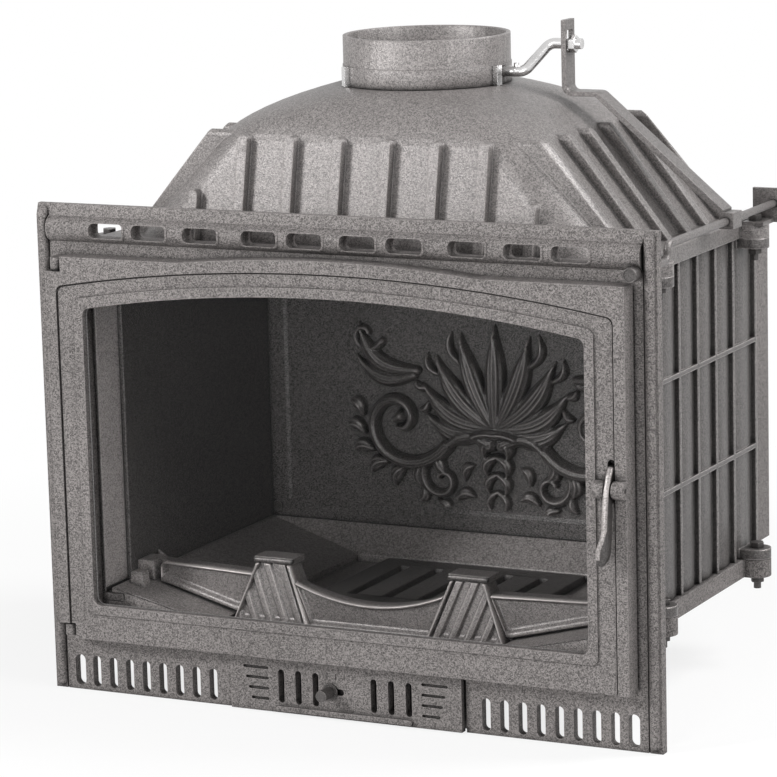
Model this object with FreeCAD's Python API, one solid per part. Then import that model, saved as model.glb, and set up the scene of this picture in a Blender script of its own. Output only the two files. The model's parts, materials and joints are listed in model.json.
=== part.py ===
import FreeCAD, Part
import math
import os

V = FreeCAD.Vector

# Cast-iron fireplace insert. Millimetres, +Z up, front towards -Y.
# The origin is on the hearth floor, straight below the flue axis.

# Fits and gaps
RUN_FIT = 0.08
PIN_FIT = 0.02
SLIDE_GAP = 0.4
EDGE_GAP = 2.5
LINING_GAP = 0.5
RAIL_GAP = 0.2
SQUARE_TOL = 0.001

# Front frame
FRAME_W = 700.0
FRAME_H = 522.0
FRAME_T = 10.0
BEAD_R = 5.5
BEAD_RIM = 2.5
GROOVE_W = 1.8
GROOVE_D = 1.5
BEVEL_H = 12.0
BEVEL_D = 4.0
STRIP_H = 27.0
STRIP_PROUD = 9.0
LOUVRE_XS = (30.0, 82.0, 150.5, 211.0, 262.0)
LOUVRE_L = 40.0
LOUVRE_H = 15.5
LOUVRE_R = 5.0
LOUVRE_LIP_W = 2.2
LOUVRE_LIP_H = 0.9
VENT_COUNT = 9
VENT_FROM_DRAWER = 24.6
VENT_FROM_BEAD = 15.4
VENT_W = 9.5
VENT_WIDE_W = 12.5
VENT_Z0 = 4.0
VENT_H = 34.0
OPENING_MARGIN = 11.0
FRAME_SCREW_OUT = 22.0
FRAME_SCREW_LOW = 77.0
FRAME_SCREW_HIGH = 41.0
FRAME_SCREW_R = 4.0
FRAME_SCREW_HEAD_R = 7.0
FRAME_SCREW_HEAD_H = 4.0

# Door
DOOR_SIDE_MARGIN = 24.0
DOOR_TOP_MARGIN = 51.0
DOOR_Z0 = 63.0
DOOR_ARCH_RISE = 9.0
DOOR_ARCH_INSET = 159.0
DOOR_PROUD = 27.0
DOOR_STANDOFF = 5.0
DOOR_PLATE_T = 8.0
DOOR_RIM_T = 8.0
HINGE_RIM_T = 19.0
PANEL_INSET = 12.0
PANEL_SPRING_DROP = 31.0
PANEL_CROWN_DROP = 4.0
PANEL_DEPTH = 2.0
STILE_W = 43.0
WINDOW_FOOT = 38.5
WINDOW_HEAD = 54.0
WINDOW_RISE = 25.0
WINDOW_R = 8.0
WINDOW_BAND = 10.0
GLASS_LAP = 7.0
GLASS_T = 4.0
TAPE_T = 2.0
LANDING_OUT = 13.0
LANDING_W = 8.5
LANDING_TOP_DROP = 16.0
LANDING_FOOT = 7.0
CLIP_TOP_INSET = 53.0
CLIP_BOTTOM_INSET = 83.0
CLIP_W = 18.0
CLIP_T = 2.0
CLIP_LAP = 5.0
CLIP_PAD = 11.0
CLIP_PAD_GAP = 1.5
CLIP_SCREW_R = 2.0
CLIP_HEAD_R = 4.0
CLIP_HEAD_H = 2.5

# Door hinges
HINGE_INSET = 9.0
HINGE_OUT = 17.0
KNUCKLE_R = 7.0
KNUCKLE_H = 12.0
KNUCKLE_GAP = 2.0
NOTCH_REACH = 9.2
HINGE_PIN_R = 4.0
HINGE_PIN_BITE = 22.0

# Door handle and latch
HANDLE_INSET = 16.25
HANDLE_UP = 208.0
LEVER_T = 7.5
LEVER_SIDE_GAP = 0.5
BOSS_L = 12.0
BOSS_R = 9.0
PIVOT_OUT = 3.0
HUB_R = 8.0
HANDLE_PIN_R = 3.0
LEVER_REACH = 43.0
LEVER_OUT = 14.0
LEVER_ARM_T = 8.0
PADDLE_W = 20.0
PADDLE_T = 9.0
PADDLE_H = 32.0
PADDLE_R = 4.0
TAIL_BACK = 13.0
TAIL_UP = 21.0
TAIL_T = 6.0
HANDLE_SLOT_UP = 29.0
HANDLE_SLOT_DOWN = 14.0
KEEPER_H = 12.0
KEEPER_GAP = 0.4
KEEPER_STEM_R = 3.0
KEEPER_CLEAR = 0.6

# Body shell
BODY_INSET = 60.0
WALL_T = 6.0
FACE_TO_FLUE = 222.0
FLUE_TO_BACK = 164.0
BASE_Z0 = 98.0
BASE_T = 8.0
BASE_RAIL_H = 20.0
BASE_RAIL_W = 9.8
BASE_LEDGE = 21.0
BASE_REAR_LEDGE = 17.0
BASE_TAIL = 26.0
HOOD_SEAT_DROP = 58.0
SIDE_FLANGE_W = 36.0
SIDE_FLANGE_T = 8.0
RIB_FIRST = 20.0
RIB_LAST_GAP = 66.0
RIB_COUNT = 7
RIB_W = 4.0
RIB_H = 7.0
FLUTE_H = 5.0
CROSS_RIB_COUNT = 2
CROSS_RIB_T = 5.0
REAR_T = 10.0
REAR_OVERHANG = 7.0
POST_W = 15.0
POST_D = 24.0
POST_FOOT = 20.0
REAR_RIB_COUNT = 5
REAR_RIB_EDGE = 123.0
REAR_RIB_H = 10.0

# Corner ears and tie bolts
EAR_OUT = 19.0
EAR_FRONT = 88.0
EAR_REAR_INSET = 34.0
EAR_R = 15.0
SIDE_EAR_T = 11.0
HOOD_EAR_T = 14.0
BOLT_R = 4.0
BOLT_HOLE_R = 4.4
BOLT_HEAD_R = 7.5
BOLT_HEAD_H = 6.0
NUT_H = 6.5
BOLT_TIP = 7.0
HEX_SIDES = 6
RIGHT_TURN = 90.0

# Hood
FLANGE_T = 18.0
FLANGE_LIP = 8.0
FLANGE_TAIL = 24.0
HOOD_SIDE_INSET = 16.0
HOOD_BACK_LIP = 4.0
HOOD_CORNER = 52.0
HOOD_SIDE_RUN = 0.82
HOOD_FRONT_RUN = 0.2
SHOULDER_H = 103.0
HOOD_TOP_H = 152.0
HOOD_WALL = 8.0
SHOULDER_STEPS = 8
CROWN_SLOPE = 0.27
NECK_RIM = 8.0
FIN_T = 11.0
FIN_H = 10.0
FRONT_FIN_EDGE = 81.5
FRONT_FIN_COUNT = 8
FRONT_FIN_SHORT = 52.0
FRONT_FIN_TOP = 110.0
SIDE_FIN_EDGE = 38.0
SIDE_FIN_COUNT = 6
SIDE_FIN_TOP = 112.0

# Flue collar and damper
COLLAR_R = 88.0
COLLAR_T = 4.5
COLLAR_ROOT_T = 0.8
COLLAR_H = 51.0
CLAMP_ANGLES = (-12.0, 108.0, 228.0)
CLAMP_W = 8.0
CLAMP_D = 6.0
CLAMP_H = 21.0
AXLE_UP = 13.0
CRANK_R = 5.6
CRANK_ARM = 35.0
CRANK_SWING_DEG = 75.0
CRANK_BEND_OUT = 24.0
CRANK_RISE_X = 20.0
CRANK_BEND_R = 11.0
CRANK_TIP = 16.0
AXLE_STUB = 6.0
DAMPER_GAP = 4.5
DAMPER_T = 5.0
DAMPER_HUB_R = 8.5
DAMPER_HUB_INSET = 3.0
SET_SCREW_OUT = 15.0
SET_SCREW_R = 2.8
SET_SCREW_UP = 9.0
CRANK_NUT_R = 9.5
CRANK_NUT_T = 7.0

# Damper pull
ROD_R = 4.0
ROD_INSET = 20.0
KNOB_DROP = 40.5
ROD_LIFT = 16.5
ROD_LINK = 74.0
ROD_TAIL = 42.0
ROD_BEND_R = 7.0
KNOB_R = 7.5
KNOB_L = 12.0
KNOB_OUT = 22.0
STRAP_OUT = 64.0
STRAP_T = 5.0
STRAP_W = 24.0
STRAP_UP = 53.0
STRAP_SHELF_DROP = 10.0
STRAP_SHELF_L = 36.0
STRAP_SLOT_SLACK = 1.5
STRAP_BEND_R = 6.0
STRAP_INNER = (2, 7)
STRAP_OUTER = (1, 6)
EYE_HALF = 8.0
EYE_TOP = 9.0
BRACKET_T = 4.0
BRACKET_W = 36.0
BRACKET_UP = 16.0
BRACKET_BACK = 16.0

# Fire chamber lining
LINER_T = 6.0
LINER_START = 54.0
LINING_DROP = 34.0
FIREBACK_T = 10.0
FIREBACK_BORDER = 24.0
FIREBACK_STEP = 2.0
BACK_SCREW_IN = 12.0
BACK_SCREW_R = 3.0
BACK_SCREW_HEAD_R = 6.0
BACK_SCREW_HEAD_H = 3.0
BAFFLE_T = 8.0
BAFFLE_START = 130.0
SHIELD_W = 300.0
SHIELD_H = 210.0
SHIELD_R = 70.0
SHIELD_DROP = 16.0
SHIELD_T = 4.0

# Hearth tray, grate and log guard
TRAY_RIM_T = 6.0
TRAY_BRIM = 3.0
TRAY_FRONT_WALL = 4.0
TRAY_LIP = 4.0
PIT_RIM_DROP = 14.0
PIT_DROP = 22.0
PIT_HALF_X = 160.0
PIT_FRONT = 19.0
PIT_REAR_GAP = 44.0
TRAY_SKIN = 8.0
GRATE_SIDE = 40.0
GRATE_L = 190.0
GRATE_REAR_GAP = 4.0
GRATE_T = 8.0
GRATE_LEDGE = 30.0
GRATE_END_LEDGE = 15.0
GRATE_SLOTS = 5
GRATE_SLOT_EDGE = 36.0
GRATE_SLOT_W = 11.0
GRATE_SLOT_R = 3.5
GRATE_SLOT_INSET = 28.0
GUARD_START = 52.0
GUARD_WEB_T = 14.0
GUARD_DIP_H = 31.0
GUARD_SHOULDER_H = 62.0
GUARD_POST_IN = 47.0
GUARD_POST_TOP_HALF = 19.5
GUARD_POST_FOOT_HALF = 46.0
GUARD_POST_T = 28.0
GUARD_POST_H = 66.0
GUARD_POST_LEAN = 10.0
CAP_HALF = 23.0
CAP_T = 6.0
CAP_OVER = 4.0
WING_GAP = 26.5
WING_H = 54.0
WING_SWEEP = 15.0
WING_LIFT = 1.5
GUARD_BRACKET_W = 20.0
GUARD_BRACKET_D = 30.0
GUARD_BRACKET_H = 18.0

# Ash box and air register
DRAWER_HALF = 133.0
DRAWER_TOP = 58.0
DRAWER_LIFT = 0.8
DRAWER_PROUD = 6.0
DRAWER_T = 8.0
CASING_INSET = 38.0
CASING_T = 4.0
CASING_START = 12.0
CASING_TAIL = 3.0
CASING_LIP = 8.0
PAN_T = 2.0
PAN_TOP = 52.0
PAN_SIDE_GAP = 3.0
PAN_REAR_GAP = 20.0
PAN_START = 10.0
AIR_SLOT_XS = (33.5, 53.5, 73.5)
AIR_SLOT_W = 7.0
AIR_SLOT_MARGIN = 4.0
SHUTTER_T = 2.5
SHUTTER_Z0 = 7.0
SHUTTER_DROP = 7.0
SHUTTER_INSET = 5.0
SHUTTER_TRAVEL = 12.0
RAIL_INSET = 15.0
AIR_KNOB_X = -16.0
AIR_STEM_R = 3.0
AIR_KNOB_R = 6.0
AIR_KNOB_L = 20.0
AIR_WASHER_R = 8.5
AIR_WASHER_T = 1.5
SIDE_GROOVE_LS = (30.0, 27.0, 24.0, 21.0)
SIDE_GROOVE_INSET = 45.0
SIDE_GROOVE_Z0 = 14.0
SIDE_GROOVE_PITCH = 11.0
SIDE_GROOVE_H = 3.0
SIDE_GROOVE_D = 3.0
FOOT_RIB_INSET = 55.0
FOOT_RIB_Z = 3.0
FOOT_RIB_H = 5.5
FOOT_RIB_D = 4.0

# Places of the front frame and the door
FRONT = -FACE_TO_FLUE
FRAME_BACK = FRONT + FRAME_T
HALF_W = FRAME_W / 2
BEVEL_Z = FRAME_H - BEVEL_H
STRIP_Z0 = BEVEL_Z - STRIP_H
STRIP_MID_Z = (STRIP_Z0 + BEVEL_Z) / 2
BEAD_X = HALF_W - BEAD_RIM - BEAD_R
FIELD_HALF = BEAD_X - BEAD_R - GROOVE_W
VENT_FIRST_X = DRAWER_HALF + VENT_FROM_DRAWER
VENT_PITCH = (FIELD_HALF - VENT_FROM_BEAD - VENT_FIRST_X) / (VENT_COUNT - 1)
DOOR_HALF = HALF_W - DOOR_SIDE_MARGIN
DOOR_ARCH_HALF = DOOR_HALF - DOOR_ARCH_INSET
DOOR_TOP = FRAME_H - DOOR_TOP_MARGIN
DOOR_FRONT = FRONT - DOOR_PROUD
DOOR_REAR = FRONT - DOOR_STANDOFF
PLATE_REAR = DOOR_FRONT + DOOR_PLATE_T
WINDOW_HALF = DOOR_HALF - STILE_W
WINDOW_Z0 = DOOR_Z0 + WINDOW_FOOT
WINDOW_SPRING = DOOR_TOP - WINDOW_HEAD
WINDOW_CROWN = WINDOW_SPRING + WINDOW_RISE
OPEN_HALF = WINDOW_HALF + OPENING_MARGIN
OPEN_SPRING = WINDOW_SPRING + OPENING_MARGIN
GLASS_HALF = WINDOW_HALF + GLASS_LAP
GLASS_Z0 = WINDOW_Z0 - GLASS_LAP
GLASS_SPRING = WINDOW_SPRING + GLASS_LAP
GLASS_FRONT = PLATE_REAR + TAPE_T
GLASS_BACK = GLASS_FRONT + GLASS_T
LANDING_X = WINDOW_HALF + LANDING_OUT
LANDING_TOP_Z = DOOR_TOP - LANDING_TOP_DROP
LANDING_BOTTOM_Z = DOOR_Z0 + LANDING_FOOT
CLIP_TOP_X = WINDOW_HALF - CLIP_TOP_INSET
CLIP_BOTTOM_X = WINDOW_HALF - CLIP_BOTTOM_INSET
HINGE_X = -DOOR_HALF + HINGE_INSET
HINGE_Y = FRONT - HINGE_OUT
NOTCH_X = HINGE_X + NOTCH_REACH
HANDLE_X = DOOR_HALF - HANDLE_INSET
HANDLE_Z = DOOR_Z0 + HANDLE_UP
PIVOT_Y = DOOR_FRONT - PIVOT_OUT
LEVER_HALF = LEVER_T / 2
SLOT_HALF = LEVER_HALF + LEVER_SIDE_GAP
KEEPER_Z = HANDLE_Z + TAIL_UP + TAIL_T / 2 + KEEPER_GAP

# Places of the body and the hood
WALL_X = HALF_W - BODY_INSET
WALL_OUT = WALL_X + WALL_T
WALL_REAR = FLUE_TO_BACK
RAIL_X = WALL_OUT + RAIL_GAP
RIB_PITCH = (WALL_REAR - FRONT - RIB_FIRST - RIB_LAST_GAP) / (RIB_COUNT - 1)
BASE_TOP = BASE_Z0 + BASE_T
BASE_OPEN_X = WALL_X - BASE_LEDGE
BASE_OPEN_REAR = WALL_REAR - BASE_REAR_LEDGE
RAIL_TOP = BASE_Z0 + BASE_RAIL_H
REAR_BACK = WALL_REAR + REAR_T
EAR_BOLT_X = WALL_OUT + EAR_OUT
EAR_YS = (FRONT + EAR_FRONT, WALL_REAR - EAR_REAR_INSET)
HOOD_SEAT_Z = FRAME_H - HOOD_SEAT_DROP
CROSS_RIB_PITCH = (HOOD_SEAT_Z - RAIL_TOP) / (CROSS_RIB_COUNT + 1)
FLANGE_TOP = HOOD_SEAT_Z + FLANGE_T
HOOD_HALF_X = WALL_X - HOOD_SIDE_INSET
HOOD_HALF_Y = WALL_REAR + HOOD_BACK_LIP
FRONT_FIN_PITCH = 2 * (HOOD_HALF_X - FRONT_FIN_EDGE) / (FRONT_FIN_COUNT - 1)
SIDE_FIN_PITCH = 2 * (HOOD_HALF_Y - SIDE_FIN_EDGE) / (SIDE_FIN_COUNT - 1)
SHOULDER_Z = FLANGE_TOP + SHOULDER_H
HOOD_TOP = FLANGE_TOP + HOOD_TOP_H
FRAME_SCREW_X = WALL_X + FRAME_SCREW_OUT
FRAME_SCREW_ZS = (DOOR_Z0 + FRAME_SCREW_LOW, DOOR_TOP - FRAME_SCREW_HIGH)

# Places of the damper
COLLAR_IN_R = COLLAR_R - COLLAR_T
COLLAR_TOP = HOOD_TOP + COLLAR_H
AXLE_Z = HOOD_TOP + AXLE_UP
HALF_SWING = math.radians(CRANK_SWING_DEG / 2)
PIN_Y = CRANK_ARM * math.sin(HALF_SWING)
PIN_Z = AXLE_Z + CRANK_ARM * math.cos(HALF_SWING)
CRANK_BEND_X = COLLAR_R + CRANK_BEND_OUT
DAMPER_R = COLLAR_IN_R - DAMPER_GAP
DAMPER_HUB_HALF = DAMPER_R - DAMPER_HUB_INSET
SET_SCREW_X = COLLAR_R + SET_SCREW_OUT
STRAP_X = COLLAR_R + STRAP_OUT
STRAP_TOP = AXLE_Z + STRAP_UP
STRAP_SHELF_Z = HOOD_TOP - STRAP_SHELF_DROP
STRAP_SHELF_END = STRAP_X + STRAP_SHELF_L
CRANK_END_X = STRAP_X + CRANK_TIP
ROD_X = HALF_W - ROD_INSET
KNOB_Z = FRAME_H - KNOB_DROP
ROD_Z = KNOB_Z + ROD_LIFT
ROD_END = WALL_REAR + ROD_TAIL
BRACKET_TOP = ROD_Z + BRACKET_UP

# Places of the lining and the hearth
LINER_X = WALL_X - LINER_T
LINING_TOP = HOOD_SEAT_Z - LINING_DROP
BACK_FACE = WALL_REAR - FIREBACK_T
TRAY_TOP = BASE_TOP + TRAY_RIM_T
TRAY_HALF_X = LINER_X - LINING_GAP
TRAY_START = FRAME_BACK + LINING_GAP
TRAY_END = BACK_FACE - LINING_GAP
PIT_RIM_Z = BASE_Z0 - PIT_RIM_DROP
PIT_Z = BASE_Z0 - PIT_DROP
OPEN_Z0 = PIT_RIM_Z + TRAY_LIP
PIT_Y0 = FRONT + PIT_FRONT
PIT_Y1 = WALL_REAR - PIT_REAR_GAP
TRAY_BOTTOM = PIT_Z - TRAY_SKIN
SHIELD_Z = (TRAY_TOP + LINING_TOP) / 2 - SHIELD_DROP
GRATE_HALF_X = PIT_HALF_X - GRATE_SIDE
GRATE_Y1 = PIT_Y1 - GRATE_REAR_GAP
GRATE_Y0 = GRATE_Y1 - GRATE_L
GRATE_SLOT_PITCH = 2 * (GRATE_HALF_X - GRATE_SLOT_EDGE) / (GRATE_SLOTS - 1)
GUARD_Y = FRONT + GUARD_START
GUARD_WEB_Y = GUARD_Y + (GUARD_POST_T - GUARD_WEB_T) / 2
GUARD_POST_X = PIT_HALF_X - GUARD_POST_IN
GUARD_POST_TOP = PIT_Z + GUARD_POST_H
WING_END_X = TRAY_HALF_X - WING_GAP
WING_TOP_Z = PIT_Z + WING_H

# Places of the ash box
DRAWER_FRONT = FRONT - DRAWER_PROUD
DRAWER_BACK = DRAWER_FRONT + DRAWER_T
CASING_HALF_X = DRAWER_HALF - CASING_INSET
CASING_Y1 = PIT_Y1 + CASING_TAIL
PAN_HALF = CASING_HALF_X - CASING_T - PAN_SIDE_GAP
PAN_Z0 = CASING_T + SLIDE_GAP
PAN_FRONT = FRONT + PAN_START
PAN_REAR = CASING_Y1 - PAN_REAR_GAP
SHUTTER_Z1 = DRAWER_TOP - SHUTTER_DROP
SHUTTER_HALF = CASING_HALF_X - SHUTTER_INSET
RAIL_HALF = CASING_HALF_X - RAIL_INSET
AIR_SLOT_Z0 = SHUTTER_Z0 + AIR_SLOT_MARGIN
AIR_SLOT_Z1 = SHUTTER_Z1 - AIR_SLOT_MARGIN
AIR_KNOB_Z = (SHUTTER_Z0 + SHUTTER_Z1) / 2


def box(x0, x1, y0, y1, z0, z1):
    """Box between two corners."""
    return Part.makeBox(x1 - x0, y1 - y0, z1 - z0, V(x0, y0, z0))


def rod(start, end, radius):
    """Round bar between two points."""
    axis = end - start
    return Part.makeCylinder(radius, axis.Length, start, axis)


def post(x, y, z0, z1, radius):
    """Upright round bar."""
    return rod(V(x, y, z0), V(x, y, z1), radius)


def prism(points, along):
    """Closed polygon swept along a vector."""
    return Part.Face(Part.makePolygon(points + points[:1])).extrude(along)


def plate_xz(points, y0, y1):
    """Outline in X and Z, thick along Y."""
    return prism([V(x, y0, z) for x, z in points], V(0, y1 - y0, 0))


def plate_yz(points, x0, x1):
    """Outline in Y and Z, thick along X."""
    return prism([V(x0, y, z) for y, z in points], V(x1 - x0, 0, 0))


def join(shapes):
    """One solid from touching shapes."""
    return shapes[0].multiFuse(shapes[1:]).removeSplitter()


def cut(shape, tools):
    """Shape less every tool."""
    return shape.cut(Part.makeCompound(tools))


def mirrored(shape):
    """The same piece on the other side of the centre plane."""
    return shape.mirror(V(0, 0, 0), V(1, 0, 0))


def both_sides(shape):
    """A piece and its mirror image."""
    return [shape, mirrored(shape)]


def edges_along(shape, direction):
    """Straight edges parallel to a direction."""
    found = []
    for edge in shape.Edges:
        if not isinstance(edge.Curve, Part.Line):
            continue
        if edge.Curve.Direction.cross(direction).Length < SQUARE_TOL:
            found.append(edge)
    return found


def rounded(shape, radius, direction):
    """Shape with its edges along one direction rounded."""
    return shape.makeFillet(radius, edges_along(shape, direction))


def slot_y(x, z, width, height, radius, y0, y1):
    """Round-cornered bar along Y."""
    bar = box(x - width / 2, x + width / 2, y0, y1, z - height / 2, z + height / 2)
    return rounded(bar, radius, V(0, 1, 0))


def long_slot(x0, x1, z0, z1, y0, y1):
    """Bar along Y whose ends are half rounds on its longer side."""
    width = x1 - x0
    height = z1 - z0
    z_mid = (z0 + z1) / 2
    x_mid = (x0 + x1) / 2
    r = min(width, height) / 2
    if height > width:
        core = box(x0, x1, y0, y1, z0 + r, z1 - r)
        ends = [(x_mid, z0 + r), (x_mid, z1 - r)]
    else:
        core = box(x0 + r, x1 - r, y0, y1, z0, z1)
        ends = [(x0 + r, z_mid), (x1 - r, z_mid)]
    caps = [rod(V(x, y0, z), V(x, y1, z), r) for x, z in ends]
    return join([core] + caps)


def arch(half, z0, spring, crown, y0, y1):
    """Upright plate with a straight foot and a low arched top."""
    left = V(-half, y0, spring)
    right = V(half, y0, spring)
    top = Part.Arc(right, V(0, y0, crown), left).toShape()
    lines = [
        Part.makeLine(left, V(-half, y0, z0)),
        Part.makeLine(V(-half, y0, z0), V(half, y0, z0)),
        Part.makeLine(V(half, y0, z0), right),
    ]
    wire = Part.Wire(Part.__sortEdges__([top] + lines))
    return Part.Face(wire).extrude(V(0, y1 - y0, 0))


def bent_rod(points, radius, bend):
    """Round bar along straight runs joined by bends."""
    edges = []
    start = points[0]
    for before, corner, after in zip(points, points[1:], points[2:]):
        back = (before - corner).normalize()
        ahead = (after - corner).normalize()
        half = back.getAngle(ahead) / 2
        reach = bend / math.tan(half)
        middle = (back + ahead).normalize()
        centre = corner + middle * (bend / math.sin(half))
        first = corner + back * reach
        last = corner + ahead * reach
        edges.append(Part.makeLine(start, first))
        edges.append(Part.Arc(first, centre - middle * bend, last).toShape())
        start = last
    edges.append(Part.makeLine(start, points[-1]))
    ring = Part.makeCircle(radius, points[0], points[1] - points[0])
    return Part.Wire(edges).makePipeShell([Part.Wire([ring])], True, False)


def hexagon(x, y, z0, z1, radius):
    """Upright hexagonal bar."""
    corners = []
    for k in range(HEX_SIDES):
        angle = 2 * math.pi * k / HEX_SIDES
        corners.append(V(x + radius * math.cos(angle), y + radius * math.sin(angle), z0))
    return prism(corners, V(0, 0, z1 - z0))


def hinge_levels():
    """Foot heights of the lower and upper hinge knuckles."""
    lower = DOOR_Z0 + KNUCKLE_GAP
    upper = DOOR_TOP - KNUCKLE_GAP - KNUCKLE_H
    return lower, upper


def ear(y, z0, z1, inner_x):
    """Round-ended ear with a bolt hole on the right-hand side."""
    plan = box(inner_x, EAR_BOLT_X, y - EAR_R, y + EAR_R, z0, z1)
    return plan.fuse(post(EAR_BOLT_X, y, z0, z1, EAR_R))


def ear_holes(z0, z1):
    """Bolt holes through the ears of both sides."""
    holes = []
    for y in EAR_YS:
        holes += both_sides(post(EAR_BOLT_X, y, z0, z1, BOLT_HOLE_R))
    return holes


def front_frame():
    """Facade casting: field, edge beads, louvre strip, vents, hinge knuckles."""
    field = box(-HALF_W, HALF_W, FRONT, FRAME_BACK, 0, FRAME_H)
    bevel = plate_yz([(FRONT, BEVEL_Z), (FRONT, FRAME_H), (FRONT + BEVEL_D, FRAME_H)], -HALF_W, HALF_W)
    end_zs = (BEAD_RIM + BEAD_R, FRAME_H - BEAD_RIM - BEAD_R)
    bead = post(BEAD_X, FRONT, end_zs[0], end_zs[1], BEAD_R)
    column = join([bead] + [Part.makeSphere(BEAD_R, V(BEAD_X, FRONT, z)) for z in end_zs])
    pieces = [field.cut(bevel), strip_barrel(0)] + louvre_lips() + both_sides(column) + knuckles()
    return cut(join(pieces), frame_openings())


def strip_barrel(grow):
    """Bulging louvre strip, larger by a margin, cut off at the frame's back."""
    half_h = STRIP_H / 2
    strip_r = (half_h ** 2 + STRIP_PROUD ** 2) / (2 * STRIP_PROUD)
    strip_y = FRONT - STRIP_PROUD + strip_r
    ends = [V(x, strip_y, STRIP_MID_Z) for x in (-FIELD_HALF, FIELD_HALF)]
    front = FRONT - STRIP_PROUD - grow
    trim = box(-HALF_W, HALF_W, front, FRAME_BACK, STRIP_Z0, BEVEL_Z)
    return rod(ends[0], ends[1], strip_r + grow).common(trim)


def louvre_lips():
    """Low raised lips round the louvres."""
    skin = strip_barrel(LOUVRE_LIP_H)
    length = LOUVRE_L + 2 * LOUVRE_LIP_W
    height = LOUVRE_H + 2 * LOUVRE_LIP_W
    front = FRONT - STRIP_PROUD - LOUVRE_LIP_H
    lips = []
    for x in LOUVRE_XS:
        bar = slot_y(x, STRIP_MID_Z, length, height, LOUVRE_R + LOUVRE_LIP_W, front, FRAME_BACK)
        lips += both_sides(bar.common(skin))
    return lips


def knuckles():
    """Hinge knuckles standing out from the frame."""
    made = []
    for z in hinge_levels():
        barrel = post(HINGE_X, HINGE_Y, z, z + KNUCKLE_H, KNUCKLE_R)
        web = box(HINGE_X - KNUCKLE_R, HINGE_X + KNUCKLE_R, HINGE_Y, FRONT, z, z + KNUCKLE_H)
        made.append(barrel.fuse(web))
    return made


def frame_openings():
    """Everything cut out of the front frame."""
    y0 = FRONT - DOOR_PROUD
    y1 = FRAME_BACK + FRAME_T
    tools = [arch(OPEN_HALF, OPEN_Z0, OPEN_SPRING, OPEN_SPRING + WINDOW_RISE, y0, y1)]
    notch = DRAWER_HALF + EDGE_GAP
    tools.append(box(-notch, notch, y0, y1, -FRAME_T, DRAWER_TOP + EDGE_GAP))
    for x in LOUVRE_XS:
        tools += both_sides(slot_y(x, STRIP_MID_Z, LOUVRE_L, LOUVRE_H, LOUVRE_R, y0, y1))
    for k in range(VENT_COUNT):
        width = VENT_WIDE_W if k == VENT_COUNT - 1 else VENT_W
        x = VENT_FIRST_X + k * VENT_PITCH
        tools += both_sides(long_slot(x - width / 2, x + width / 2, VENT_Z0, VENT_Z0 + VENT_H, y0, y1))
    groove = box(FIELD_HALF, FIELD_HALF + GROOVE_W, FRONT - BEAD_R, FRONT + GROOVE_D, 0, FRAME_H)
    tools += both_sides(groove)
    tools.append(rod(V(ROD_X, y0, KNOB_Z), V(ROD_X, y1, KNOB_Z), ROD_R + RUN_FIT))
    tools.append(rod(V(HANDLE_X, y0, keeper_mid()), V(HANDLE_X, y1, keeper_mid()), KEEPER_STEM_R + PIN_FIT))
    for low in hinge_levels():
        tools.append(post(HINGE_X, HINGE_Y, low - KNUCKLE_H, low + 2 * KNUCKLE_H, HINGE_PIN_R + PIN_FIT))
    return tools + screw_holes()


def screw_holes():
    """Countersunk holes that take the frame screws."""
    return [frame_screw(x, z, PIN_FIT) for x, z in frame_screw_places()]


def frame_screw_places():
    """X and Z of the four screws behind the door."""
    return [(x, z) for x in (-FRAME_SCREW_X, FRAME_SCREW_X) for z in FRAME_SCREW_ZS]


def frame_screw(x, z, slack):
    """Countersunk screw through the frame and the side flange."""
    head = Part.makeCone(
        FRAME_SCREW_HEAD_R + slack, FRAME_SCREW_R + slack, FRAME_SCREW_HEAD_H, V(x, FRONT, z), V(0, 1, 0)
    )
    end = FRAME_BACK + SIDE_FLANGE_T
    return head.fuse(rod(V(x, FRONT + FRAME_SCREW_HEAD_H, z), V(x, end, z), FRAME_SCREW_R + slack))


def frame_screws():
    """The four frame screws."""
    return Part.makeCompound([frame_screw(x, z, 0) for x, z in frame_screw_places()])


def keeper_mid():
    """Height of the latch keeper's centre."""
    return KEEPER_Z + KEEPER_H / 2


def latch_keeper():
    """Ramp block riveted to the frame, above the lever's tail."""
    reach = PLATE_REAR + KEEPER_CLEAR
    block = box(HANDLE_X - LEVER_HALF, HANDLE_X + LEVER_HALF, reach, FRONT, KEEPER_Z, KEEPER_Z + KEEPER_H)
    stem = rod(V(HANDLE_X, FRONT, keeper_mid()), V(HANDLE_X, FRAME_BACK, keeper_mid()), KEEPER_STEM_R)
    return block.fuse(stem)


def door_outline(grow, z0, y0, y1):
    """Door edge: a rectangle whose top edge swells in a low arch."""
    half = DOOR_HALF + grow
    top = DOOR_TOP + grow
    slab = box(-half, half, y0, y1, z0 - grow, top)
    swell = arch(DOOR_ARCH_HALF, z0, top, top + DOOR_ARCH_RISE, y0, y1)
    return join([slab, swell])


def panel_field(inset, y0, y1):
    """Round-cornered field of the door, open at its foot, smaller by an inset."""
    spring = DOOR_TOP - PANEL_SPRING_DROP - inset
    crown = DOOR_TOP - PANEL_CROWN_DROP - inset
    field = arch(DOOR_HALF - PANEL_INSET - inset, DOOR_Z0 - 2 * WINDOW_R, spring, crown, y0, y1)
    return rounded(field, WINDOW_R, V(0, 1, 0))


def door_panel(y0):
    """Sunk field around the window, with a groove along its outer edge."""
    floor = DOOR_FRONT + PANEL_DEPTH
    field = panel_field(0, y0, floor).cut(window(WINDOW_BAND, y0, floor))
    deep = floor + GROOVE_D
    return [field, panel_field(0, y0, deep).cut(panel_field(GROOVE_W, y0, deep))]


def window(grow, y0, y1):
    """Arched window, larger by a margin on every side."""
    hole = arch(
        WINDOW_HALF + grow, WINDOW_Z0 - grow, WINDOW_SPRING + grow, WINDOW_CROWN + grow, y0, y1
    )
    return rounded(hole, WINDOW_R, V(0, 1, 0))


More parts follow.
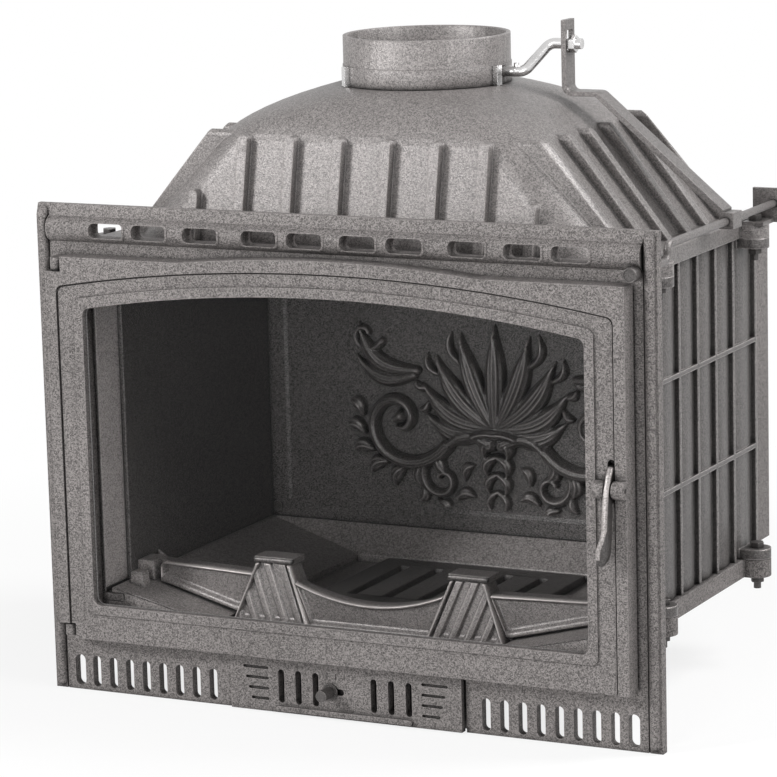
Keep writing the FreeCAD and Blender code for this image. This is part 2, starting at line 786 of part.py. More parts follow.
def clip_places():
    """X, glass edge height and direction of each glass clip."""
    arc_r = (GLASS_HALF ** 2 + WINDOW_RISE ** 2) / (2 * WINDOW_RISE)
    inner_x = CLIP_TOP_X - CLIP_W / 2
    top = GLASS_SPRING + WINDOW_RISE - arc_r + math.sqrt(arc_r ** 2 - inner_x ** 2)
    places = []
    for sign in (-1, 1):
        places.append((sign * CLIP_TOP_X, top, 1))
        places.append((sign * CLIP_BOTTOM_X, GLASS_Z0, -1))
    return places


def span(a, b):
    """The two numbers in rising order."""
    return min(a, b), max(a, b)


def door_frame():
    """Door casting: plate, rim, hinge stile, gasket landing, bosses."""
    plate = cut(door_outline(0, DOOR_Z0, DOOR_FRONT, PLATE_REAR), door_panel(DOOR_FRONT - DOOR_PROUD))
    rim = door_outline(0, DOOR_Z0, PLATE_REAR, DOOR_REAR)
    rim = rim.cut(door_outline(-DOOR_RIM_T, DOOR_Z0, PLATE_REAR, DOOR_REAR))
    stile = box(-DOOR_HALF, -DOOR_HALF + HINGE_RIM_T, PLATE_REAR, DOOR_REAR, DOOR_Z0, DOOR_TOP)
    pieces = [plate, rim, stile, landing(PLATE_REAR, DOOR_REAR)]
    for x, z, up in clip_places():
        z0, z1 = span(z + up * CLIP_PAD_GAP, z + up * (CLIP_PAD_GAP + CLIP_PAD))
        pieces.append(box(x - CLIP_W / 2, x + CLIP_W / 2, PLATE_REAR, GLASS_BACK, z0, z1))
    for x0 in (HANDLE_X - SLOT_HALF - BOSS_L, HANDLE_X + SLOT_HALF):
        barrel = rod(V(x0, PIVOT_Y, HANDLE_Z), V(x0 + BOSS_L, PIVOT_Y, HANDLE_Z), BOSS_R)
        pieces.append(barrel.common(box(x0, x0 + BOSS_L, PIVOT_Y - BOSS_R, PLATE_REAR, 0, DOOR_TOP)))
    return cut(join(pieces), door_openings())


def landing(y0, y1):
    """Raised ring that carries the rope gasket."""
    outer = LANDING_X + LANDING_W
    ring = box(-outer, outer, y0, y1, LANDING_BOTTOM_Z, LANDING_TOP_Z + LANDING_W)
    inner_z0 = LANDING_BOTTOM_Z + LANDING_W
    return ring.cut(box(-LANDING_X, LANDING_X, y0, y1, inner_z0, LANDING_TOP_Z))


def door_openings():
    """Everything cut out of the door casting."""
    y0 = DOOR_FRONT - DOOR_PROUD
    y1 = FRONT
    tools = [window(0, y0, y1)]
    lower, upper = hinge_levels()
    edge = -DOOR_HALF - EDGE_GAP
    tools.append(box(edge, NOTCH_X, y0, y1, upper - KNUCKLE_GAP, DOOR_TOP + KNUCKLE_GAP))
    tools.append(box(edge, NOTCH_X, y0, y1, DOOR_Z0 - KNUCKLE_GAP, lower + KNUCKLE_H + KNUCKLE_GAP))
    bite = HINGE_PIN_BITE + KNUCKLE_GAP
    tools.append(post(HINGE_X, HINGE_Y, upper - KNUCKLE_GAP - bite, upper, HINGE_PIN_R + RUN_FIT))
    low_top = lower + KNUCKLE_H + KNUCKLE_GAP
    tools.append(post(HINGE_X, HINGE_Y, low_top, low_top + bite, HINGE_PIN_R + RUN_FIT))
    z0 = HANDLE_Z - HANDLE_SLOT_DOWN
    z1 = HANDLE_Z + HANDLE_SLOT_UP - SLOT_HALF
    tools.append(box(HANDLE_X - SLOT_HALF, HANDLE_X + SLOT_HALF, y0, PLATE_REAR, z0, z1))
    tools.append(rod(V(HANDLE_X, y0, z1), V(HANDLE_X, PLATE_REAR, z1), SLOT_HALF))
    tools.append(handle_pin_bar(HANDLE_PIN_R + PIN_FIT))
    for x, z in clip_screw_places():
        tools.append(rod(V(x, PLATE_REAR, z), V(x, GLASS_BACK, z), CLIP_SCREW_R + PIN_FIT))
    return tools


def handle_pin_bar(radius):
    """Bar along the lever's pivot, from end to end of the bosses."""
    half = SLOT_HALF + BOSS_L
    return rod(V(HANDLE_X - half, PIVOT_Y, HANDLE_Z), V(HANDLE_X + half, PIVOT_Y, HANDLE_Z), radius)


def door_glass():
    """Ceramic pane behind the window."""
    return window(GLASS_LAP, GLASS_FRONT, GLASS_BACK)


def glass_gasket():
    """Flat tape between the door plate and the pane."""
    return window(GLASS_LAP, PLATE_REAR, GLASS_FRONT).cut(window(0, PLATE_REAR, GLASS_FRONT))


def clip_screw_places():
    """X and Z of each clip screw."""
    return [(x, z + up * (CLIP_PAD_GAP + CLIP_PAD / 2)) for x, z, up in clip_places()]


def glass_clips():
    """Four flat clips that hold the pane."""
    clips = []
    for x, z, up in clip_places():
        z0, z1 = span(z - up * CLIP_LAP, z + up * (CLIP_PAD_GAP + CLIP_PAD))
        clip = box(x - CLIP_W / 2, x + CLIP_W / 2, GLASS_BACK, GLASS_BACK + CLIP_T, z0, z1)
        hole_z = z + up * (CLIP_PAD_GAP + CLIP_PAD / 2)
        hole = rod(V(x, GLASS_BACK, hole_z), V(x, DOOR_REAR, hole_z), CLIP_SCREW_R + PIN_FIT)
        clips.append(clip.cut(hole))
    return Part.makeCompound(clips)


def glass_clip_screws():
    """Pan-head screws through the clips."""
    screws = []
    for x, z in clip_screw_places():
        under = GLASS_BACK + CLIP_T
        shank = rod(V(x, PLATE_REAR, z), V(x, under, z), CLIP_SCREW_R)
        screws.append(shank.fuse(rod(V(x, under, z), V(x, under + CLIP_HEAD_H, z), CLIP_HEAD_R)))
    return Part.makeCompound(screws)


def door_rope_gasket():
    """Rope seal between the door's landing and the frame."""
    return landing(DOOR_REAR, FRONT - SLIDE_GAP)


def hinge_pins():
    """Two pins pressed into the knuckles, running in the door's stile."""
    lower, upper = hinge_levels()
    low_end = lower + KNUCKLE_H + KNUCKLE_GAP + HINGE_PIN_BITE
    high_end = upper - KNUCKLE_GAP - HINGE_PIN_BITE
    return Part.makeCompound(
        [
            post(HINGE_X, HINGE_Y, lower, low_end, HINGE_PIN_R),
            post(HINGE_X, HINGE_Y, high_end, upper + KNUCKLE_H, HINGE_PIN_R),
        ]
    )


def door_handle():
    """Lever with a tail behind the door plate and a flattened end below."""
    x0 = HANDLE_X - LEVER_HALF
    x1 = HANDLE_X + LEVER_HALF
    hub = rod(V(x0, PIVOT_Y, HANDLE_Z), V(x1, PIVOT_Y, HANDLE_Z), HUB_R)
    arm_y = PIVOT_Y - LEVER_OUT
    elbow_z = HANDLE_Z - LEVER_REACH / 2
    grip_z = HANDLE_Z - LEVER_REACH
    half = LEVER_ARM_T / 2
    arm = plate_yz(
        [
            (PIVOT_Y - HUB_R / 2, HANDLE_Z + half),
            (arm_y - half, elbow_z),
            (arm_y - half, grip_z),
            (arm_y + half, grip_z),
            (arm_y + half, elbow_z),
            (PIVOT_Y, HANDLE_Z - half),
        ],
        x0,
        x1,
    )
    tail_y = PIVOT_Y + TAIL_BACK
    tail_z = HANDLE_Z + TAIL_UP
    tail = plate_yz(
        [
            (PIVOT_Y - HUB_R / 2, HANDLE_Z + TAIL_T),
            (tail_y - TAIL_T, tail_z + TAIL_T / 2),
            (tail_y + TAIL_T / 2, tail_z + TAIL_T / 2),
            (tail_y + TAIL_T / 2, tail_z - TAIL_T / 2),
            (PIVOT_Y + HUB_R / 2, HANDLE_Z),
        ],
        x0,
        x1,
    )
    paddle = box(
        HANDLE_X - PADDLE_W / 2,
        HANDLE_X + PADDLE_W / 2,
        arm_y - PADDLE_T / 2,
        arm_y + PADDLE_T / 2,
        grip_z - PADDLE_H,
        grip_z + PADDLE_R,
    )
    paddle = paddle.makeFillet(PADDLE_R, paddle.Edges)
    lever = join([hub, arm, tail, paddle])
    return lever.cut(handle_pin_bar(HANDLE_PIN_R + RUN_FIT))


def handle_pin():
    """Cross pin of the lever."""
    return handle_pin_bar(HANDLE_PIN_R)


def rib_places():
    """Y of the upright ribs of a side plate, with its rear edge last."""
    places = [FRONT + RIB_FIRST + k * RIB_PITCH for k in range(RIB_COUNT)]
    return places + [WALL_REAR - RIB_W / 2]


def flute(y0, y1):
    """Convex flute between two ribs of the right-hand side plate."""
    start = V(WALL_OUT, y0, RAIL_TOP)
    end = V(WALL_OUT, y1, RAIL_TOP)
    crest = V(WALL_OUT + FLUTE_H, (y0 + y1) / 2, RAIL_TOP)
    wire = Part.Wire([Part.Arc(start, crest, end).toShape(), Part.makeLine(end, start)])
    return Part.Face(wire).extrude(V(0, 0, HOOD_SEAT_Z - RAIL_TOP))


def right_side_plate():
    """Fluted side wall with ribs, front flange and corner ears."""
    wall = box(WALL_X, WALL_OUT, FRAME_BACK, WALL_REAR, BASE_TOP, HOOD_SEAT_Z)
    flange_y = FRAME_BACK + SIDE_FLANGE_T
    flange = box(WALL_X, WALL_X + SIDE_FLANGE_W, FRAME_BACK, flange_y, RAIL_TOP, HOOD_SEAT_Z)
    pieces = [wall, flange]
    places = rib_places()
    for y in places:
        pieces.append(
            box(WALL_OUT, WALL_OUT + RIB_H, y - RIB_W / 2, y + RIB_W / 2, RAIL_TOP, HOOD_SEAT_Z)
        )
    for y0, y1 in zip(places, places[1:]):
        pieces.append(flute(y0, y1))
    for k in range(CROSS_RIB_COUNT):
        z = RAIL_TOP + (k + 1) * CROSS_RIB_PITCH
        half = CROSS_RIB_T / 2
        pieces.append(box(WALL_OUT, WALL_OUT + RIB_H, places[0], places[-1], z - half, z + half))
    for y in EAR_YS:
        pieces.append(ear(y, HOOD_SEAT_Z - SIDE_EAR_T, HOOD_SEAT_Z, WALL_OUT))
        pieces.append(ear(y, RAIL_TOP, RAIL_TOP + SIDE_EAR_T, WALL_OUT))
    return cut(join(pieces), ear_holes(BASE_Z0, FLANGE_TOP) + screw_holes())


def rear_plate():
    """Back wall with corner posts and upright stiffening ribs."""
    half = WALL_OUT + REAR_OVERHANG
    foot = BASE_TOP + POST_FOOT
    wall = box(-half, half, WALL_REAR, REAR_BACK, BASE_TOP, HOOD_SEAT_Z)
    corner = box(half - POST_W, half, REAR_BACK, REAR_BACK + POST_D, foot, HOOD_SEAT_Z)
    pieces = [wall] + both_sides(corner)
    outer = half - REAR_RIB_EDGE
    for k in range(REAR_RIB_COUNT):
        x = -outer + 2 * outer * k / (REAR_RIB_COUNT - 1)
        pieces.append(box(x - RIB_W, x + RIB_W, REAR_BACK, REAR_BACK + REAR_RIB_H, foot, HOOD_SEAT_Z))
    return cut(join(pieces), back_screw_bars(BACK_SCREW_R + PIN_FIT))


def base_plate():
    """Floor ring with side rails and corner ears, open to the front."""
    half = RAIL_X + BASE_RAIL_W
    slab = box(-half, half, FRAME_BACK, WALL_REAR + BASE_TAIL, BASE_Z0, BASE_TOP)
    pit = box(-BASE_OPEN_X, BASE_OPEN_X, FRONT, BASE_OPEN_REAR, BASE_Z0, BASE_TOP)
    rail = box(RAIL_X, half, FRAME_BACK, WALL_REAR, BASE_TOP, RAIL_TOP)
    ears = [ear(y, BASE_Z0, RAIL_TOP, RAIL_X) for y in EAR_YS]
    pieces = [slab.cut(pit)] + both_sides(join([rail] + ears))
    return cut(join(pieces), ear_holes(BASE_Z0, RAIL_TOP))


def hood_section(z, half_x, half_y, corner):
    """Rounded rectangle about the flue axis."""
    bend = min(corner, half_x - EDGE_GAP, half_y - EDGE_GAP)
    slab = box(-half_x, half_x, -half_y, half_y, z, z + FLANGE_T)
    slab = rounded(slab, bend, V(0, 0, 1))
    low = min(slab.Faces, key=lambda face: face.CenterOfMass.z)
    return low.OuterWire


def hood_shell(wall):
    """Hood between the flange and the neck, smaller by a wall thickness."""
    shoulder_x = HOOD_HALF_X - HOOD_SIDE_RUN * SHOULDER_H - wall
    shoulder_y = HOOD_HALF_Y - HOOD_FRONT_RUN * SHOULDER_H - wall
    neck = COLLAR_R + NECK_RIM - wall
    low = SHOULDER_Z - wall / 2
    rise = HOOD_TOP - wall - low
    run = shoulder_x - neck
    lift = (run - rise / CROWN_SLOPE) / (HOOD_SIDE_RUN - 1 / CROWN_SLOPE)
    sections = [hood_section(FLANGE_TOP, HOOD_HALF_X - wall, HOOD_HALF_Y - wall, HOOD_CORNER)]
    for k in range(SHOULDER_STEPS + 1):
        t = k / SHOULDER_STEPS
        z = low + 2 * t * (1 - t) * lift + t ** 2 * rise
        inward = 2 * t * (1 - t) * HOOD_SIDE_RUN * lift / run + t ** 2
        half_x = shoulder_x - run * inward
        half_y = shoulder_y + (neck - shoulder_y) * inward
        corner = HOOD_CORNER + (neck - HOOD_CORNER) * inward
        sections.append(hood_section(z, half_x, half_y, corner))
    return Part.makeLoft(sections, True, True)


def fin_bar(middle, height, near, far):
    """Round-topped bar standing on the flange and running back into the hood."""
    top = FLANGE_TOP + height
    foot = FLANGE_TOP - FLANGE_T / 2
    return long_slot(middle - FIN_T / 2, middle + FIN_T / 2, foot, top, near, far)


def hood_fins():
    """Fins up the front and both sides, following the hood's own slope."""
    skin = hood_shell(-FIN_H)
    reach = HOOD_HALF_X + HOOD_HALF_Y
    fins = []
    for k in range(FRONT_FIN_COUNT):
        x = (k - (FRONT_FIN_COUNT - 1) / 2) * FRONT_FIN_PITCH
        outer = k in (0, FRONT_FIN_COUNT - 1)
        height = FRONT_FIN_SHORT if outer else FRONT_FIN_TOP
        fins.append(fin_bar(x, height, -reach, -HOOD_HALF_Y / 2).common(skin))
    for k in range(SIDE_FIN_COUNT):
        y = (k - (SIDE_FIN_COUNT - 1) / 2) * SIDE_FIN_PITCH
        bar = fin_bar(y, SIDE_FIN_TOP, -reach, -COLLAR_R)
        bar.rotate(V(0, 0, 0), V(0, 0, 1), RIGHT_TURN)
        fins += both_sides(bar.common(skin))
    return fins


def hood():
    """Finned hood with its flange, ears and flue neck."""
    half = WALL_OUT + FLANGE_LIP
    flange = box(-half, half, FRAME_BACK, WALL_REAR + FLANGE_TAIL, HOOD_SEAT_Z, FLANGE_TOP)
    ears = [ear(y, HOOD_SEAT_Z, HOOD_SEAT_Z + HOOD_EAR_T, WALL_X) for y in EAR_YS]
    pieces = [flange, hood_shell(0)] + hood_fins()
    for lug in ears:
        pieces += both_sides(lug)
    throat = hood_section(HOOD_SEAT_Z, HOOD_HALF_X - HOOD_WALL, HOOD_HALF_Y - HOOD_WALL, HOOD_CORNER)
    throat = Part.Face(throat).extrude(V(0, 0, FLANGE_T))
    neck = post(0, 0, HOOD_TOP - 2 * HOOD_WALL, HOOD_TOP, COLLAR_IN_R)
    tools = [hood_shell(HOOD_WALL), throat, neck] + ear_holes(HOOD_SEAT_Z, FLANGE_TOP)
    return cut(join(pieces), tools)


def flue_collar():
    """Open ring on the hood's neck, thicker at its root, bored for the damper axle."""
    tube = post(0, 0, HOOD_TOP, COLLAR_TOP, COLLAR_R)
    root = post(0, 0, HOOD_TOP, HOOD_TOP + CLAMP_H, COLLAR_R + COLLAR_ROOT_T)
    bore = post(0, 0, HOOD_TOP, COLLAR_TOP, COLLAR_IN_R)
    reach = COLLAR_R + AXLE_STUB
    axle = rod(V(-reach, 0, AXLE_Z), V(reach, 0, AXLE_Z), CRANK_R + RUN_FIT)
    return cut(join([tube, root]), [bore, axle])


def collar_clamps():
    """Tabs that hold the collar down on the neck."""
    root_r = COLLAR_R + COLLAR_ROOT_T
    tabs = []
    for angle in CLAMP_ANGLES:
        tab = box(COLLAR_IN_R, root_r + CLAMP_D, -CLAMP_W / 2, CLAMP_W / 2, HOOD_TOP, HOOD_TOP + CLAMP_H)
        tab = tab.cut(post(0, 0, HOOD_TOP, COLLAR_TOP, root_r))
        tab.rotate(V(0, 0, 0), V(0, 0, 1), angle)
        tabs.append(tab)
    return Part.makeCompound(tabs)


def damper_crank():
    """Bent rod: axle through the collar, arm and pin outside it."""
    points = [
        V(-COLLAR_R - AXLE_STUB, 0, AXLE_Z),
        V(CRANK_BEND_X, 0, AXLE_Z),
        V(CRANK_BEND_X + CRANK_RISE_X, PIN_Y, PIN_Z),
        V(CRANK_END_X, PIN_Y, PIN_Z),
    ]
    return bent_rod(points, CRANK_R, CRANK_BEND_R).cut(set_screw(PIN_FIT))


def set_screw(slack):
    """Screw standing in the axle beside the collar."""
    return post(SET_SCREW_X, 0, AXLE_Z, AXLE_Z + SET_SCREW_UP + slack, SET_SCREW_R + slack)


def crank_nut():
    """Nut on the end of the crank pin."""
    x0 = STRAP_X + STRAP_T / 2 + SLIDE_GAP
    nut = hexagon(0, 0, 0, CRANK_NUT_T, CRANK_NUT_R)
    nut.rotate(V(0, 0, 0), V(0, 1, 0), RIGHT_TURN)
    nut.translate(V(x0, PIN_Y, PIN_Z))
    return nut.cut(rod(V(CRANK_BEND_X, PIN_Y, PIN_Z), V(CRANK_END_X, PIN_Y, PIN_Z), CRANK_R + PIN_FIT))


def damper_plate():
    """Disc with a hub sleeve on the axle, shut at rest."""
    disc = post(0, 0, AXLE_Z - DAMPER_T / 2, AXLE_Z + DAMPER_T / 2, DAMPER_R)
    sleeve = rod(V(-DAMPER_HUB_HALF, 0, AXLE_Z), V(DAMPER_HUB_HALF, 0, AXLE_Z), DAMPER_HUB_R)
    axle = rod(V(-DAMPER_R, 0, AXLE_Z), V(DAMPER_R, 0, AXLE_Z), CRANK_R + PIN_FIT)
    return disc.fuse(sleeve).cut(axle)


def strap_outline():
    """Outer edge of the bent strap, as X and Z."""
    half = STRAP_T / 2
    foot_x = ROD_X - EYE_HALF + STRAP_T
    foot_z = ROD_Z + EYE_TOP
    fall = math.atan2(STRAP_SHELF_Z - foot_z, foot_x - STRAP_SHELF_END)
    knee = half * math.tan(fall / 2)
    return [
        (STRAP_X - half, STRAP_TOP),
        (STRAP_X - half, STRAP_SHELF_Z - half),
        (STRAP_SHELF_END - knee, STRAP_SHELF_Z - half),
        (foot_x - STRAP_T, foot_z - half),
        (foot_x, foot_z),
        (foot_x, foot_z + half),
        (STRAP_SHELF_END + knee, STRAP_SHELF_Z + half),
        (STRAP_X + half, STRAP_SHELF_Z + half),
        (STRAP_X + half, STRAP_TOP),
    ]


def bent_strip(outline, y0, y1):
    """Strip of the given edge with its two bends rounded, inside and out."""
    strip = plate_xz(outline, y0, y1)
    inner = [outline[k] for k in STRAP_INNER]
    outer = [outline[k] for k in STRAP_OUTER]
    for corners, radius in ((inner, STRAP_BEND_R), (outer, STRAP_BEND_R + STRAP_T)):
        edges = [edge for edge in edges_along(strip, V(0, 1, 0)) if at_corner(edge, corners)]
        strip = strip.makeFillet(radius, edges)
    return strip


def at_corner(edge, corners):
    """Whether an edge along Y stands at one of the X and Z places."""
    p = edge.Vertexes[0].Point
    return any(math.hypot(p.x - x, p.z - z) < SQUARE_TOL for x, z in corners)


def damper_strap():
    """Bent strap: slotted upright on the crank pin, eye on the rod."""
    y0 = PIN_Y - STRAP_W / 2
    y1 = PIN_Y + STRAP_W / 2
    strip = bent_strip(strap_outline(), y0, y1)
    eye = box(ROD_X - EYE_HALF, ROD_X + EYE_HALF, y0, y1, ROD_Z - EYE_HALF, ROD_Z + EYE_TOP)
    half = CRANK_R + STRAP_SLOT_SLACK
    low = PIN_Z - half
    high = AXLE_Z + CRANK_ARM + half
    window_bar = box(
        STRAP_X - STRAP_T, STRAP_X + STRAP_T, PIN_Y - half, PIN_Y + half, low, high
    )
    bore = rod(V(ROD_X, y0, ROD_Z), V(ROD_X, y1, ROD_Z), ROD_R + PIN_FIT)
    return cut(join([strip, eye]), [window_bar, bore])


def damper_rod():
    """Pull rod: shaft through the frame, joggle, long run to the rear."""
    points = [
        V(ROD_X, FRONT - KNOB_OUT + KNOB_L / 2, KNOB_Z),
        V(ROD_X, FRONT + ROD_LINK, KNOB_Z),
        V(ROD_X, FRONT + ROD_LINK, ROD_Z),
        V(ROD_X, ROD_END, ROD_Z),
    ]
    return bent_rod(points, ROD_R, ROD_BEND_R)


def damper_knob():
    """Round knob on the front end of the pull rod."""
    y0 = FRONT - KNOB_OUT
    knob = rod(V(ROD_X, y0, KNOB_Z), V(ROD_X, y0 + KNOB_L, KNOB_Z), KNOB_R)
    return knob.cut(rod(V(ROD_X, y0 + KNOB_L / 2, KNOB_Z), V(ROD_X, FRONT, KNOB_Z), ROD_R + PIN_FIT))


def rod_bracket():
    """Angle plate under the rear right bolt, guiding the rod's far end."""
    y = EAR_YS[1]
    z0 = HOOD_SEAT_Z + HOOD_EAR_T
    x0 = WALL_OUT + FLANGE_LIP + EDGE_GAP
    x1 = x0 + BRACKET_W
    foot = box(x0, EAR_BOLT_X + EAR_R, y - EAR_R, y + BRACKET_BACK, z0, z0 + BRACKET_T)
    plate = box(x0, x1, y + BRACKET_BACK, y + BRACKET_BACK + BRACKET_T, z0, BRACKET_TOP)
    hole = post(EAR_BOLT_X, y, z0, z0 + BRACKET_T, BOLT_HOLE_R)
    guide = rod(V(ROD_X, y, ROD_Z), V(ROD_X, y + 2 * BRACKET_BACK, ROD_Z), ROD_R + RUN_FIT)
    return cut(join([foot, plate]), [hole, guide])


def tie_bolt(x, y, seat, grip):
    """Hex bolt whose head sits on a seat, with its nut below the grip."""
    tip = seat - grip - NUT_H - BOLT_TIP
    head = hexagon(x, y, seat, seat + BOLT_HEAD_H, BOLT_HEAD_R)
    return head.fuse(post(x, y, tip, seat, BOLT_R))


def tie_nut(x, y, top):
    """Nut below an ear."""
    return hexagon(x, y, top - NUT_H, top, BOLT_HEAD_R).cut(post(x, y, top - NUT_H, top, BOLT_R + PIN_FIT))


def upper_tie_bolts():
    """Bolts through the hood's and side plates' upper ears."""
    seat = HOOD_SEAT_Z + HOOD_EAR_T
    grip = HOOD_EAR_T + SIDE_EAR_T
    bolts = []
    for x in (-EAR_BOLT_X, EAR_BOLT_X):
        for y in EAR_YS:
            raised = BRACKET_T if x > 0 and y == EAR_YS[1] else 0
            bolts.append(tie_bolt(x, y, seat + raised, grip + raised))
    return Part.makeCompound(bolts)


def upper_tie_nuts():
    """Nuts of the upper bolts."""
    top = HOOD_SEAT_Z - SIDE_EAR_T
    return Part.makeCompound([tie_nut(x, y, top) for x in (-EAR_BOLT_X, EAR_BOLT_X) for y in EAR_YS])


def lower_tie_bolts():
    """Bolts through the side plates' lower ears and the base ears."""
    seat = RAIL_TOP + SIDE_EAR_T
    grip = seat - BASE_Z0
    return Part.makeCompound(
        [tie_bolt(x, y, seat, grip) for x in (-EAR_BOLT_X, EAR_BOLT_X) for y in EAR_YS]
    )


def lower_tie_nuts():
    """Nuts of the lower bolts."""
    return Part.makeCompound(
        [tie_nut(x, y, BASE_Z0) for x in (-EAR_BOLT_X, EAR_BOLT_X) for y in EAR_YS]
    )


def right_liner():
    """Inner wall plate of the fire chamber."""
    return box(LINER_X, WALL_X, FRONT + LINER_START, BACK_FACE, BASE_TOP, LINING_TOP)


def back_screw_places():
    """X and Z of the fireback screws."""
    x = WALL_X - BACK_SCREW_IN
    return [(sx, z) for sx in (-x, x) for z in (TRAY_TOP + BACK_SCREW_IN, LINING_TOP - BACK_SCREW_IN)]


def back_screw_bars(radius):
    """Bars along the fireback screws."""
    bars = []
    for x, z in back_screw_places():
        bars.append(rod(V(x, BACK_FACE, z), V(x, REAR_BACK, z), radius))
    return bars


def fireback():
    """Back plate of the chamber: sunk field, border and a plain raised shield."""
    plate = box(-WALL_X, WALL_X, BACK_FACE, WALL_REAR, BASE_TOP, LINING_TOP)
    inner = LINER_X - FIREBACK_BORDER
    z0 = TRAY_TOP + FIREBACK_BORDER
    z1 = LINING_TOP - FIREBACK_BORDER
    floor_y = BACK_FACE + FIREBACK_STEP
    field = box(-inner, inner, BACK_FACE, floor_y, z0, z1)
    shield = slot_y(0, SHIELD_Z, SHIELD_W, SHIELD_H, SHIELD_R, floor_y - SHIELD_T, WALL_REAR)
    return cut(join([plate.cut(field), shield]), back_screw_bars(BACK_SCREW_R + PIN_FIT))


def fireback_screws():
    """Round-head screws at the fireback's corners."""
    screws = []
    for (x, z), shank in zip(back_screw_places(), back_screw_bars(BACK_SCREW_R)):
        head = rod(V(x, BACK_FACE - BACK_SCREW_HEAD_H, z), V(x, BACK_FACE, z), BACK_SCREW_HEAD_R)
        screws.append(head.fuse(shank))
    return Part.makeCompound(screws)


def smoke_baffle():
    """Flat plate lying on the liners and the fireback."""
    half = WALL_X - LINING_GAP
    return box(-half, half, FRONT + BAFFLE_START, WALL_REAR - LINING_GAP, LINING_TOP, LINING_TOP + BAFFLE_T)


def frustum(z0, low, z1, high):
    """Four-sided funnel between two rectangles of half width, front and rear."""
    rings = []
    for z, (half, y0, y1) in ((z0, low), (z1, high)):
        rings.append([V(-half, y0, z), V(half, y0, z), V(half, y1, z), V(-half, y1, z)])
    return tapered(rings)


def tapered(rings):
    """Flat-sided solid between two four-cornered rings."""
    lower, upper = rings
    outlines = [lower, upper]
    for k in range(4):
        after = (k + 1) % 4
        outlines.append([lower[k], lower[after], upper[after], upper[k]])
    faces = [Part.Face(Part.makePolygon(ring + ring[:1])) for ring in outlines]
    solid = Part.Solid(Part.Shell(faces))
    if solid.Volume < 0:
        solid.reverse()
    return solid


def tray_bowl():
    """The space inside the tray above its pit."""
    low = (PIT_HALF_X, PIT_Y0, PIT_Y1)
    run = (PIT_Y0 - TRAY_START) / TRAY_LIP
    front = PIT_Y0 - run * (TRAY_TOP - PIT_RIM_Z)
    high = (TRAY_HALF_X - TRAY_BRIM, front, TRAY_END - TRAY_BRIM)
    return frustum(PIT_RIM_Z, low, TRAY_TOP, high)


def hearth_tray():
    """Sunk hearth: rim on the base, sloping sides, flat pit, front apron, grate opening."""
    rim = box(-TRAY_HALF_X, TRAY_HALF_X, TRAY_START, TRAY_END, BASE_TOP, TRAY_TOP)
    foot = (PIT_HALF_X + TRAY_SKIN, TRAY_START, PIT_Y1 + TRAY_SKIN)
    shoulder = (BASE_OPEN_X - LINING_GAP, TRAY_START, BASE_OPEN_REAR - LINING_GAP)
    apron_y = TRAY_START + TRAY_FRONT_WALL
    apron_z = BASE_Z0 - LINING_GAP
    apron_half = OPEN_HALF + TRAY_FRONT_WALL
    apron = box(-apron_half, apron_half, TRAY_START, apron_y, TRAY_BOTTOM, apron_z)
    neck = box(-shoulder[0], shoulder[0], TRAY_START, apron_y, apron_z, BASE_TOP)
    body = join([rim, apron, neck, frustum(TRAY_BOTTOM, foot, BASE_TOP, shoulder)])
    pit = box(-PIT_HALF_X, PIT_HALF_X, PIT_Y0, PIT_Y1, PIT_Z, PIT_RIM_Z)
    half = GRATE_HALF_X - GRATE_LEDGE
    y0 = GRATE_Y0 + GRATE_END_LEDGE
    y1 = GRATE_Y1 - GRATE_END_LEDGE
    opening = box(-half, half, y0, y1, TRAY_BOTTOM, PIT_Z)
    return cut(body, [tray_bowl(), pit, opening])


def grate():
    """Loose slotted plate over the ash opening."""
    top = PIT_Z + GRATE_T
    plate = box(-GRATE_HALF_X, GRATE_HALF_X, GRATE_Y0, GRATE_Y1, PIT_Z, top)
    y0 = GRATE_Y0 + GRATE_SLOT_INSET
    y1 = GRATE_Y1 - GRATE_SLOT_INSET
    half = GRATE_SLOT_W / 2
    slots = []
    for k in range(GRATE_SLOTS):
        x = (k - (GRATE_SLOTS - 1) / 2) * GRATE_SLOT_PITCH
        slots.append(rounded(box(x - half, x + half, y0, y1, PIT_Z, top), GRATE_SLOT_R, V(0, 0, 1)))
    return cut(plate, slots)


def guard_web():
    """Middle of the log guard, dipping between the posts."""
    reach = GUARD_POST_X
    shoulder = PIT_Z + GUARD_SHOULDER_H
    left = V(-reach, GUARD_WEB_Y, shoulder)
    right = V(reach, GUARD_WEB_Y, shoulder)
    dip = Part.Arc(left, V(0, GUARD_WEB_Y, PIT_Z + GUARD_DIP_H), right).toShape()
    foot = [right, V(reach, GUARD_WEB_Y, PIT_Z), V(-reach, GUARD_WEB_Y, PIT_Z), left]
    outline = Part.Wire([dip] + Part.makePolygon(foot).Edges)
    return Part.Face(outline).extrude(V(0, GUARD_WEB_T, 0))


def guard_post():
    """Right-hand post: a leaning tapered block with a cap."""
    rings = []
    levels = ((PIT_Z, GUARD_POST_FOOT_HALF, 0), (GUARD_POST_TOP, GUARD_POST_TOP_HALF, GUARD_POST_LEAN))
    y1 = GUARD_Y + GUARD_POST_T
    for z, half, shift in levels:
        y0 = GUARD_Y + shift
        x0 = GUARD_POST_X - half
        x1 = GUARD_POST_X + half
        rings.append([V(x0, y0, z), V(x1, y0, z), V(x1, y1, z), V(x0, y1, z)])
    cap = box(
        GUARD_POST_X - CAP_HALF,
        GUARD_POST_X + CAP_HALF,
        GUARD_Y + GUARD_POST_LEAN - CAP_OVER,
        y1 + CAP_OVER,
        GUARD_POST_TOP,
        GUARD_POST_TOP + CAP_T,
    )
    return join([tapered(rings), cap])


